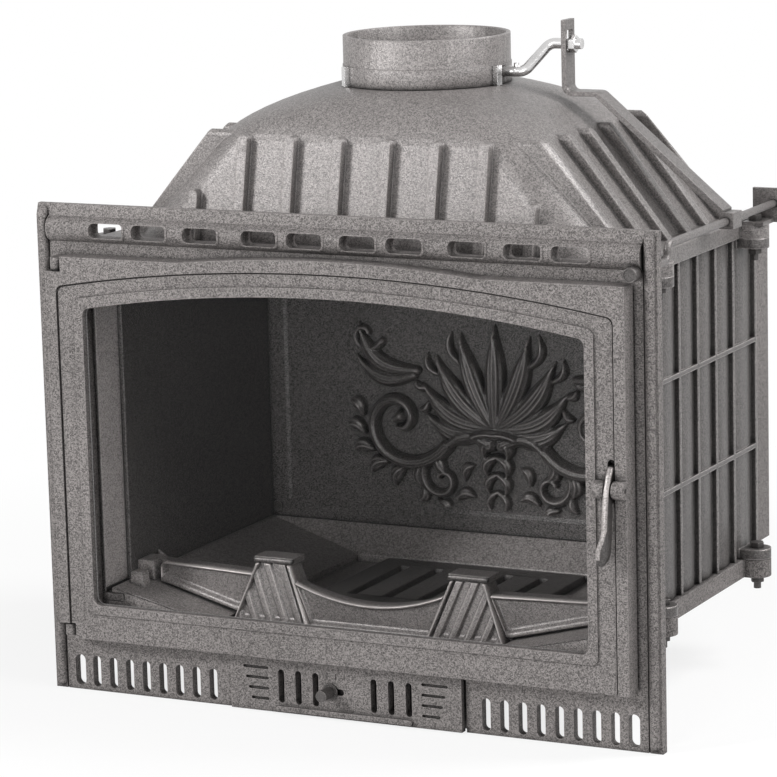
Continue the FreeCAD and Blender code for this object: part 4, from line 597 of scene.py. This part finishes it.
# Rims, feet, roots and reeds of the guard's panels: each is flat at its top and slopes down to
# the panel, and shares are of the rim's height
RIM_H = 4.6 * MM
RIM_FLAT = 2.4 * MM
RIM_SLOPE = 1.7 * MM
FOOT_FLAT = 3.5 * MM
FOOT_SLOPE = 6.5 * MM
ROOT_SLOPE = 5.0 * MM
PANEL_LIFT = 0.35
POST_RIM_SHARE = 1.25
TUCK = 0.4 * MM
REED_SHARE = 0.8
REED_PITCH = 16.5 * MM
REED_MIDDLE = 0.25
REED_FLAT = 2.9 * MM
REED_SLOPE = 1.8 * MM
REED_START = 5.0 * MM


def rise(gap, flat, slope):
    """1 within a flat margin from an edge, falling smoothly to 0 across a slope."""
    t = min(1.0, max(0.0, (flat + slope - gap) / slope))
    return t * t * (3 - 2 * t)


def panel(columns, rows, place):
    """Grid over one panel; its border is tucked into the casting behind."""
    verts, faces = [], []
    for j in range(rows + 1):
        for i in range(columns + 1):
            at, height = place(i / columns, j / rows)
            border = i in (0, columns) or j in (0, rows)
            verts.append(at + Vector((0, TUCK if border else -height * RIM_H, 0)))
    width = columns + 1
    for j in range(rows):
        for i in range(columns):
            k = j * width + i
            faces.append((k, k + 1, k + 1 + width, k + width))
    return verts, faces


def post_half(z):
    """Half the width of a post at a height."""
    return POST_FOOT_HALF - POST_SLOPE * (z - GUARD_LOW.z)


def post_place(across, up):
    """Right post's front: rims along its sides, reeds parallel to its inner edge."""
    z = GUARD_LOW.z + POST_RUN * up
    half = post_half(z)
    x = (2 * across - 1) * half
    at = Vector((POST_X + x, GUARD_LOW.y + POST_LEAN * up, z))
    lean = POST_RUN / math.hypot(POST_RUN, POST_FOOT_HALF - POST_TOP_HALF)
    inner = (x + half) * lean
    outer = (half - x) * lean
    band = ((inner - REED_START) / REED_PITCH) % 1 - REED_MIDDLE
    reed = REED_SHARE * rise(abs(band) * REED_PITCH, REED_FLAT, REED_SLOPE)
    sides = POST_RIM_SHARE * rise(min(inner, outer), RIM_FLAT, RIM_SLOPE)
    foot = rise(POST_RUN * up, FOOT_FLAT, FOOT_SLOPE)
    return at, max(reed, sides, foot) + PANEL_LIFT


def wing_place(along, up):
    """Right wing's front: a sunk panel with rims and a rolled foot, from the post outwards."""
    slope = (WING_END_Z - WING_FOOT_Z) / (GUARD_HIGH.x - WING_FOOT_X)
    z = WING_FOOT_Z + (WING_TOP_Z - WING_FOOT_Z) * up
    for _ in range(SETTLE_STEPS):
        root_x = POST_X + post_half(z) - UNDERLAP
        x = root_x + (GUARD_HIGH.x - root_x) * along
        low = WING_FOOT_Z + slope * max(0.0, x - WING_FOOT_X)
        past = max(0.0, x - GUARD_HIGH.x + WING_CORNER)
        high = WING_TOP_Z - WING_CORNER + math.sqrt(max(0.0, WING_CORNER**2 - past**2))
        z = low + (high - low) * up
    lean = WING_BACK * (x - POST_X) / (GUARD_HIGH.x - POST_X)
    rim = rise(min(high - z, GUARD_HIGH.x - x), RIM_FLAT, RIM_SLOPE)
    foot = rise(z - low, FOOT_FLAT, FOOT_SLOPE)
    root = rise(x - root_x, 0.0, ROOT_SLOPE)
    return Vector((x, WEB_Y + lean, z)), max(rim, foot, root) + PANEL_LIFT


def web_place(across, up):
    """Middle of the guard: a sunk panel below its dipping rim, from post to post."""
    z = GUARD_LOW.z + (DIP_Z - GUARD_LOW.z) * up
    for _ in range(SETTLE_STEPS):
        half = POST_X - post_half(z) + UNDERLAP
        x = (2 * across - 1) * half
        high = DIP_Z + DIP_RISE * (x / POST_X) ** 2
        z = GUARD_LOW.z + (high - GUARD_LOW.z) * up
    rim = rise(high - z, RIM_FLAT, RIM_SLOPE)
    foot = rise(z - GUARD_LOW.z, FOOT_FLAT, FOOT_SLOPE)
    root = rise(half - abs(x), 0.0, ROOT_SLOPE)
    return Vector((x, WEB_Y, z)), max(rim, foot, root) + PANEL_LIFT


def cap_roll():
    """Round bar along the front edge of the right post's cap."""
    y = GUARD_LOW.y + POST_LEAN - CAP_FRONT
    z = POST_TOP_Z + CAP_ROLL_UP
    steps = range(-CAP_ROLL_STEPS, CAP_ROLL_STEPS + 1)
    line = [Vector((POST_X + s / CAP_ROLL_STEPS * CAP_HALF, y, z)) for s in steps]
    return tube_mesh(line, CAP_ROLL_R, CAP_ROLL_SIDES)


def guard_fronts():
    """Fronts of the log guard's posts, wings and web, and the rolls on its caps."""
    parts = [panel(*POST_GRID, post_place), panel(*WING_GRID, wing_place), cap_roll()]
    parts = mirrored(parts) + [panel(*WEB_GRID, web_place)]
    fronts = mesh_piece("guard_fronts", *gather(parts), "cast_reeds")


# Fireback: plain bordered plate with a leaf-and-scroll relief of a common kind
BACK_LOW, BACK_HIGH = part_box("fireback")
FIELD_Y = 156 * MM
BORDER_Y = 154 * MM
BORDER = 26 * MM
BORDER_SLOPE = 3 * MM
PLATE_ROUNDING = 1.2 * MM


def fireback_plate():
    """Bordered plate, standing for the CAD fireback."""
    insets = (0, 0, BORDER, BORDER + BORDER_SLOPE)
    verts, faces = [], []
    for inset, y in zip(insets, (BACK_HIGH.y, BORDER_Y, BORDER_Y, FIELD_Y)):
        x = BACK_HIGH.x - inset
        low, high = BACK_LOW.z + inset, BACK_HIGH.z - inset
        verts += [(-x, y, low), (x, y, low), (x, y, high), (-x, y, high)]
    for a in range(0, len(verts) - 4, 4):
        b = a + 4
        for k in range(4):
            j = (k + 1) % 4
            faces.append((a + k, a + j, b + j, b + k))
    faces += [(3, 2, 1, 0), tuple(range(len(verts) - 4, len(verts)))]
    plate = mesh_piece("fireback_plate", verts, faces, "cast_dark", smooth=False)
    soften(plate, PLATE_ROUNDING)
    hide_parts("fireback")


# The relief is drawn in millimetres and degrees, its right half first
RELIEF_X = 184
RELIEF_Z0 = 140
RELIEF_Z1 = 384
RELIEF_STEP = 1.1
RELIEF_DEPTH = 1.7
RELIEF_LEAST = 0.25
RELIEF_SINK = 0.3
STRAND_MARGIN = 2
THINNEST = 0.3
STEM_TAPER = 0.45
RIB_DEPTH = 0.20
LEAF_TIP = 0.08
LEAF_ROOT = 0.35
LEAF_TAPER_FROM = 0.55
LEAF_BULGE = (0.05, 0.93)
LEAF_CROWN = (0.1, 0.9)
LEAF_CROWN_SHARE = 0.28
FAN_AT = (0, 232)
FAN_LENGTHS = (112, 108, 100, 92, 80)
FAN_TURN = 21
FAN_WIDER = 1.08
FAN_LIFT = 4
SCROLL_AT = (118, 236)
SCROLL_LEAVES = 7
SCROLL_LEAF_R = 58
SPRAY_AT = (66, 170)
SPRAY_LEAVES = 4
SPRAY_LEAF_R = 26
CURL_AT = (160, 330)
DROP_Z = 220
DROP_LEAVES = 4
DROP_PITCH = 20
DROP_LENGTH = 24


class Strand(NamedTuple):
    """A stem or leaf of the relief: its line, half width, height, ribs on each side and kind."""

    line: np.ndarray
    widest: float
    tall: float
    ribs: int = 1
    leaf: bool = False


def stem(line, **sizes):
    """A round strand that thins along its line."""
    return Strand(line, **sizes)


def leaf(line, **sizes):
    """A strand that swells and ends in a point."""
    return Strand(line, leaf=True, **sizes)


def around(centre, angle, radius, radius_z=None):
    """Point at an angle on a circle or upright ellipse."""
    radius_z = radius if radius_z is None else radius_z
    return centre[0] + radius * math.cos(angle), centre[1] + radius_z * math.sin(angle)


def spiral(centre, radii, turns, count=44):
    """Spiral round a centre from one radius and angle to another."""
    t = np.linspace(0, 1, count)
    r = radii[0] * (radii[1] / radii[0]) ** t
    a = np.radians(turns[0] + (turns[1] - turns[0]) * t)
    return np.stack([centre[0] + r * np.cos(a), centre[1] + r * np.sin(a)], 1)


def bow(start, end, bend, count=26):
    """Curve between two points, bowed sideways by a share of its length."""
    t = np.linspace(0, 1, count)[:, None]
    a, b = np.array(start, float), np.array(end, float)
    side = np.array([-(b - a)[1], (b - a)[0]])
    return a + (b - a) * t + side * bend * np.sin(np.pi * t)


def fan():
    """Leaves standing over the middle, the outer ones with a small curled leaf."""
    strands = []
    foot_x, foot_z = FAN_AT
    for k, length in enumerate(FAN_LENGTHS):
        a = math.radians(90 - FAN_TURN * k)
        x, z = around((foot_x, foot_z + FAN_LIFT), a, length * FAN_WIDER, length)
        line = bow((foot_x + 2 * k, foot_z), (x, z), bend=-0.05 * k)
        strands.append(leaf(line, widest=12.5, tall=9.5 - 0.7 * k, ribs=2))
        if k:
            line = bow((x * 0.96, (z + foot_z) / 2 + 18), (x + 10, z + 4), bend=-0.25)
            strands.append(leaf(line, widest=5.0, tall=6.0))
    return strands


def scroll():
    """Large scroll with its stalk to the middle and leaves round its outside."""
    strands = [
        stem(spiral(SCROLL_AT, (64, 9), (205, 640)), widest=8.0, tall=9.0, ribs=2),
        stem(bow((8, 214), (62, 206), bend=0.22), widest=9.0, tall=8.5, ribs=2),
    ]
    for k in range(SCROLL_LEAVES):
        a = math.radians(215 + 25 * k)
        root = around(SCROLL_AT, a, SCROLL_LEAF_R * (1 - 0.03 * k))
        tip = around(root, a + 0.55, 30 - 1.5 * k)
        strands.append(leaf(bow(root, tip, bend=0.22), widest=8.5, tall=7.0))
    return strands


def spray():
    """Small scroll below, turning the other way, with leaves of its own."""
    strands = [stem(spiral(SPRAY_AT, (30, 6), (60, -330)), widest=5.5, tall=6.5)]
    for k in range(SPRAY_LEAVES):
        a = math.radians(-20 - 55 * k)
        root = around(SPRAY_AT, a, SPRAY_LEAF_R)
        tip = around(SPRAY_AT, a - 0.4, 44, 40)
        strands.append(leaf(bow(root, tip, bend=-0.25), widest=6.5, tall=5.5))
    return strands


def plume():
    """Two long leaves above the scroll and a curl at their end."""
    return [
        leaf(bow((96, 292), (168, 344), bend=-0.24), widest=10.0, tall=7.0, ribs=2),
        leaf(bow((100, 286), (172, 306), bend=-0.20), widest=9.0, tall=6.5, ribs=2),
        stem(spiral(CURL_AT, (22, 5), (200, 520)), widest=4.5, tall=6.0),
    ]


def drop():
    """Leaves hanging in the middle, the band over them and the large scroll's eye."""
    strands = []
    for k in range(DROP_LEAVES):
        z = DROP_Z - DROP_PITCH * k
        line = bow((0, z), (13 - 2 * k, z - DROP_LENGTH), bend=0.3)
        strands.append(leaf(line, widest=8.0 - k, tall=8.0 - k))
    strands.append(stem(bow((-1, 226), (26, 222), bend=0.08, count=12), widest=7.0, tall=11.0))
    eye = bow((115, 240), (122, 236), bend=0.0, count=6)
    strands.append(stem(eye, widest=9.0, tall=10.5, ribs=0))
    return strands


def hump(t, start, rate):
    """Part of half a sine wave."""
    return np.sin(np.pi * np.clip(t * rate + start, 0, 1))


def leaf_width(t, widest):
    """Width along a leaf: narrow root, full middle, pointed tip."""
    bulge = LEAF_ROOT + (1 - LEAF_ROOT) * hump(t, *LEAF_BULGE)
    taper = np.clip((t - LEAF_TAPER_FROM) / (1 - LEAF_TAPER_FROM), 0, 1) ** 2
    return widest * bulge * (1 - (1 - LEAF_TIP) * taper)


def nearest(points, line):
    """Each point's distance from a line, and how far along it that is, from 0 to 1."""
    best = np.full(len(points), np.inf)
    where = np.zeros(len(points))
    for k, (a, b) in enumerate(zip(line, line[1:])):
        ab = b - a
        s = np.clip(((points - a) @ ab) / (ab @ ab), 0, 1)
        off = points - (a + s[:, None] * ab)
        gap = np.hypot(off[:, 0], off[:, 1])
        closer = gap < best
        best[closer] = gap[closer]
        where[closer] = ((k + s) / (len(line) - 1))[closer]
    return best, where


def strand_heights(strand, points):
    """Height of a strand over each point: a dome with fine grooves along it."""
    gap, where = nearest(points, strand.line)
    if strand.leaf:
        width = leaf_width(where, strand.widest)
    else:
        width = strand.widest * (1 - STEM_TAPER * where)
    across = gap / np.maximum(width, THINNEST)
    dome = np.sqrt(np.clip(1 - across**2, 0, 1))
    if strand.ribs:
        groove = np.cos(np.pi * (strand.ribs + 0.5) * across) ** 2
        dome = dome * (1 - RIB_DEPTH + RIB_DEPTH * groove)
    if strand.leaf:
        dome = dome * (1 - LEAF_CROWN_SHARE + LEAF_CROWN_SHARE * hump(where, *LEAF_CROWN))
    return RELIEF_DEPTH * strand.tall * dome


def relief_heights():
    """Grid of the relief's height above the field, smoothed a little."""
    xs = np.arange(-RELIEF_X, RELIEF_X + RELIEF_STEP, RELIEF_STEP)
    zs = np.arange(RELIEF_Z0, RELIEF_Z1 + RELIEF_STEP, RELIEF_STEP)
    gx, gz = np.meshgrid(np.abs(xs), zs)
    height = np.zeros_like(gx)
    for strand in fan() + scroll() + spray() + plume() + drop():
        reach = strand.widest + STRAND_MARGIN
        lo, hi = strand.line.min(0) - reach, strand.line.max(0) + reach
        near = (gx > lo[0]) & (gx < hi[0]) & (gz > lo[1]) & (gz < hi[1])
        points = np.stack([gx[near], gz[near]], 1)
        height[near] = np.maximum(height[near], strand_heights(strand, points))
    inner = height[1:-1, 1:-1]
    beside = height[:-2, 1:-1] + height[2:, 1:-1] + height[1:-1, :-2] + height[1:-1, 2:]
    soft = height.copy()
    soft[1:-1, 1:-1] = (4 * inner + beside) / 8
    return xs, zs, soft


def fireback_relief():
    """The relief's grid where it stands above the field, its border sunk into the plate."""
    xs, zs, height = relief_heights()
    keep = height > RELIEF_LEAST
    shown = keep[:-1, :-1] | keep[1:, :-1] | keep[:-1, 1:] | keep[1:, 1:]
    index = {}
    verts, faces = [], []
    for r, c in np.argwhere(shown):
        corners = ((r, c), (r, c + 1), (r + 1, c + 1), (r + 1, c))
        for corner in corners:
            if corner not in index:
                index[corner] = len(verts)
                y = FIELD_Y - (height[corner] - RELIEF_SINK) * MM
                verts.append((xs[corner[1]] * MM, y, zs[corner[0]] * MM))
        faces.append(tuple(index[corner] for corner in corners))
    relief = mesh_piece("fireback_relief", verts, faces, "cast_relief")


# Door handle: forged lever, deep from front to back, with a hooked tail and a paddle end.
# Each level section is a height, its left and right ends and its front and back, in millimetres.
# The front is set back by LEVER_SET, and the lighter strip, worn metal and a painted highlight,
# lies on it
HANDLE_LOW, HANDLE_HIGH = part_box("door_handle")
HANDLE_X = (HANDLE_LOW.x + HANDLE_HIGH.x) / 2
LEVER_SECTIONS = (
    (294.6, -2.4, 2.4, -245, -239),
    (292.5, -3.0, 3.0, -251, -238),
    (286, -3.2, 3.2, -256, -240),
    (278, -3.2, 3.2, -260, -243),
    (271, -3.2, 3.2, -263, -246),
    (262, -3.2, 3.2, -265.5, -250),
    (254, -3.2, 3.2, -267, -252.5),
    (244, -3.2, 3.2, -268.5, -253),
    (232, -3.4, 3.2, -269.5, -253.5),
    (224, -4.8, 3.2, -270.2, -254),
    (217, -7.6, 3.1, -270.4, -254.5),
    (210, -9.4, 2.8, -270.4, -255),
    (204, -9.6, 1.6, -270.0, -256.5),
    (199.5, -8.2, -0.8, -269, -259),
    (196.6, -6.0, -3.4, -267, -262),
)
LEVER_SET = 0.8
LEVER_SQUARE = 0.45
LEVER_SIDES = 28
LEVER_STEPS = 4
EDGE_STRIP_SECTIONS = LEVER_SECTIONS[1:-2]
EDGE_STRIP_IN = 3.1
EDGE_STRIP_SINK = 2.3
EDGE_STRIP_FLAT = 0.7
EDGE_STRIP_R = 3.1 * MM
EDGE_STRIP_SIDES = 16


def squared(value):
    """A sine or cosine pushed outwards, which turns a circle into a rounded square."""
    return math.copysign(abs(value) ** LEVER_SQUARE, value)


def handle_lever():
    """Lever stacked from level sections, standing for the CAD lever."""
    middles, halves = [], []
    for z, x0, x1, front, back in LEVER_SECTIONS:
        y0 = front + LEVER_SET
        middles.append(((x0 + x1) / 2, (y0 + back) / 2, z))
        halves.append(((x1 - x0) / 2, (back - y0) / 2, 0))
    verts, faces = [], []
    path = smooth_line(middles, LEVER_STEPS)
    for p, size in zip(path, smooth_line(halves, LEVER_STEPS)):
        for s in range(LEVER_SIDES):
            turn = 2 * math.pi * s / LEVER_SIDES
            x = p.x + squared(math.cos(turn)) * size.x
            y = p.y + squared(math.sin(turn)) * size.y
            verts.append(Vector((HANDLE_X + x * MM, y * MM, p.z * MM)))
    last = (len(path) - 1) * LEVER_SIDES
    for start in range(0, last, LEVER_SIDES):
        for s in range(LEVER_SIDES):
            a, b = start + s, start + (s + 1) % LEVER_SIDES
            faces.append((a, a + LEVER_SIDES, b + LEVER_SIDES, b))
    faces.append(tuple(range(LEVER_SIDES)))
    faces.append(tuple(last + s for s in range(LEVER_SIDES))[::-1])
    lever = mesh_piece("handle_lever", verts, faces, "forged", "handle")
    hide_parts("door_handle")


def handle_edge():
    """Strip along the lever's front, lighter as worn metal and as a painted highlight, which keeps
    to the left of the paddle.
    """
    edges = [(x0 + EDGE_STRIP_IN, front + EDGE_STRIP_SINK, z) for z, x0, x1, front, back in EDGE_STRIP_SECTIONS]
    points = smooth_line(edges, LEVER_STEPS)
    line = [Vector((HANDLE_X + x * MM, y * MM, z * MM)) for x, y, z in points]
    strip = tube_mesh(line, EDGE_STRIP_R, EDGE_STRIP_SIDES, flat=EDGE_STRIP_FLAT)
    edge = mesh_piece("handle_edge", *strip, "worn", "handle")


# Jambs: paler strips of the chamber's sides that the liners leave bare, paler partly as bare casing
# and partly as painted light
LINER_LOW, LINER_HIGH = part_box("right_liner")
JAMB_FRONT = -212 * MM
JAMB_FOOT_Z = 112 * MM
JAMB_GAP = 0.5 * MM
JAMB_T = 1.0 * MM


def jamb_strips():
    """Bare strips between the front frame and the liners, pale partly as painted light."""
    x0, x1 = LINER_HIGH.x - JAMB_T, LINER_HIGH.x
    z0, z1 = JAMB_FOOT_Z, LINER_HIGH.z
    strip = prism([(x1, z0), (x1, z1), (x0, z1), (x0, z0)], JAMB_FRONT, LINER_LOW.y - JAMB_GAP)
    strips = mesh_piece("jamb_strips", *gather(mirrored([strip])), "jamb", smooth=False)


# Hearth corners: tapered ribs before the guard's ends and gussets behind them
RIB_Y = (-184 * MM, -170 * MM)
RIB_FOOT_X = (257 * MM, 281 * MM)
RIB_FOOT_Z = 88 * MM
RIB_HEAD_X = (262 * MM, 275 * MM)
RIB_HEAD_Z = 124 * MM
GUSSET_Y = (-112 * MM, -108 * MM)
GUSSET_X = (256 * MM, 284 * MM)
GUSSET_Z = (112 * MM, 131 * MM)
CORNER_ROUNDING = 1.2 * MM


def hearth_corners():
    """Ribs and gussets at both sides of the hearth."""
    rib = [
        (RIB_FOOT_X[1], RIB_FOOT_Z),
        (RIB_HEAD_X[1], RIB_HEAD_Z),
        (RIB_HEAD_X[0], RIB_HEAD_Z),
        (RIB_FOOT_X[0], RIB_FOOT_Z),
    ]
    gusset = [
        (GUSSET_X[1], GUSSET_Z[0]),
        (GUSSET_X[1], GUSSET_Z[1]),
        (GUSSET_X[0], GUSSET_Z[0]),
    ]
    parts = [prism(rib, *RIB_Y), prism(gusset, *GUSSET_Y)]
    corners = mesh_piece("hearth_corners", *gather(mirrored(parts)), "cast_tray", smooth=False)
    soften(corners, CORNER_ROUNDING)


# Small marks: ticks over the register's slot and a ring round the damper knob
AIR_KNOB_LOW, AIR_KNOB_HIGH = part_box("air_knob")
DRAWER_FACE_Y = -228 * MM
TICK_COUNT = 3
TICK_PITCH = 10 * MM
TICK_BEFORE = 4 * MM
TICK_UP = 8 * MM
TICK_R = 0.6 * MM
TICK_HALF = 2.6 * MM
TICK_POINTS = (-1, -0.4, 0.4, 1)
KNOB_LOW, KNOB_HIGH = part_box("damper_knob")
RING_R = 0.9 * MM
RING_STEPS = 40
MARK_SIDES = 8


def register_ticks():
    """Three short raised ticks above the register's slot."""
    x0 = (AIR_KNOB_LOW.x + AIR_KNOB_HIGH.x) / 2 - TICK_BEFORE
    z = AIR_KNOB_HIGH.z + TICK_UP
    parts = []
    for k in range(TICK_COUNT):
        x = x0 + k * TICK_PITCH
        line = [Vector((x, DRAWER_FACE_Y, z + s * TICK_HALF)) for s in TICK_POINTS]
        parts.append(tube_mesh(line, TICK_R, MARK_SIDES))
    ticks = mesh_piece("register_ticks", *gather(parts), "forged", "drawer")


def knob_ring():
    """Dark rolled edge round the damper knob's face."""
    x = (KNOB_LOW.x + KNOB_HIGH.x) / 2
    z = (KNOB_LOW.z + KNOB_HIGH.z) / 2
    r = KNOB_HIGH.x - x - RING_R
    turns = [2 * math.pi * k / RING_STEPS for k in range(RING_STEPS)]
    line = [Vector((x + r * math.cos(a), KNOB_LOW.y, z + r * math.sin(a))) for a in turns]
    bar = tube_mesh(line, RING_R, MARK_SIDES, closed=True)
    ring = mesh_piece("knob_ring", *bar, "blackened", "damper_control")


# Studio: pale floor, white surround and four soft lamps, in metres and watts
WORLD_LIGHT = 0.16
LAMPS = {
    "key": dict(at=(-1.9, -2.5, 1.7), towards=(0.0, -0.1, 0.3), size=0.7, power=88.0),
    "top": dict(at=(1.6, 0.6, 2.2), towards=(0.1, 0.0, 0.5), size=0.9, power=50.0),
    "right": dict(at=(2.5, -1.0, 1.9), towards=(0.1, 0.0, 0.5), size=1.0, power=36.0),
    "front": dict(at=(0.5, -3.4, 0.8), towards=(0.0, -0.1, 0.25), size=1.0, power=40.0),
}
FLOOR_HALF = 6.0
FLOOR_DROP = 0.5 * MM
FLOOR_TONE = 0.88
FLOOR_GLOW = 0.80
FLOOR_FADE = (0.5, 1.2)


def surround():
    """World that is white where it is seen, and a dim even light elsewhere."""
    world = bpy.data.worlds.new("studio")
    bpy.context.scene.world = world
    g = Graph(world, "ShaderNodeOutputWorld")
    path = g.add("ShaderNodeLightPath").outputs
    seen = g.calc("MAXIMUM", path["Is Camera Ray"], path["Is Transmission Ray"])
    seen = g.calc("MAXIMUM", seen, path["Is Glossy Ray"])
    light = g.add("ShaderNodeBackground", {"Color": WHITE, "Strength": WORLD_LIGHT})
    white = g.add("ShaderNodeBackground", {"Color": WHITE, "Strength": 1.0})
    g.close(g.blend(seen, light, white))


def lamp(name, at, towards, size, power):
    """Square soft lamp facing a point."""
    data = bpy.data.lights.new(name, "AREA")
    data.size = size
    data.energy = power
    obj = bpy.data.objects.new(name, data)
    obj.location = at
    obj.rotation_euler = (Vector(towards) - Vector(at)).to_track_quat("-Z", "Y").to_euler()
    bpy.context.scene.collection.objects.link(obj)


def floor():
    """Pale floor whose far part fades into the white surround."""
    mesh = bpy.data.meshes.new("floor")
    h = FLOOR_HALF
    mesh.from_pydata([(-h, -h, 0), (h, -h, 0), (h, h, 0), (-h, h, 0)], [], [(0, 1, 2, 3)])
    obj = bpy.data.objects.new("floor", mesh)
    obj.location.z = CAD_BOX[0][2] - FLOOR_DROP
    bpy.context.scene.collection.objects.link(obj)
    g = material_graph("floor")
    paper = g.add("ShaderNodeBsdfDiffuse", {"Color": grey(FLOOR_TONE)})
    white = g.add("ShaderNodeEmission", {"Strength": 1.0})
    away = g.add("ShaderNodeVectorMath", {0: g.place}, operation="LENGTH").outputs["Value"]
    path = g.add("ShaderNodeLightPath").outputs
    seen = g.calc("MAXIMUM", path["Is Camera Ray"], path["Is Glossy Ray"])
    fade = g.calc("MULTIPLY", g.spread(away, *FLOOR_FADE, FLOOR_GLOW, 1.0), seen)
    mesh.materials.append(g.close(g.blend(fade, paper, white)))


def studio():
    """View, world, lamps and floor."""
    bpy.context.scene.view_settings.view_transform = "Standard"
    surround()
    for name, values in LAMPS.items():
        lamp(name, **values)
    floor()


set_camera()
studio()
dress_cad()
guard_fronts()
fireback_plate()
fireback_relief()
handle_lever()
handle_edge()
jamb_strips()
hearth_corners()
register_ticks()
knob_ring()
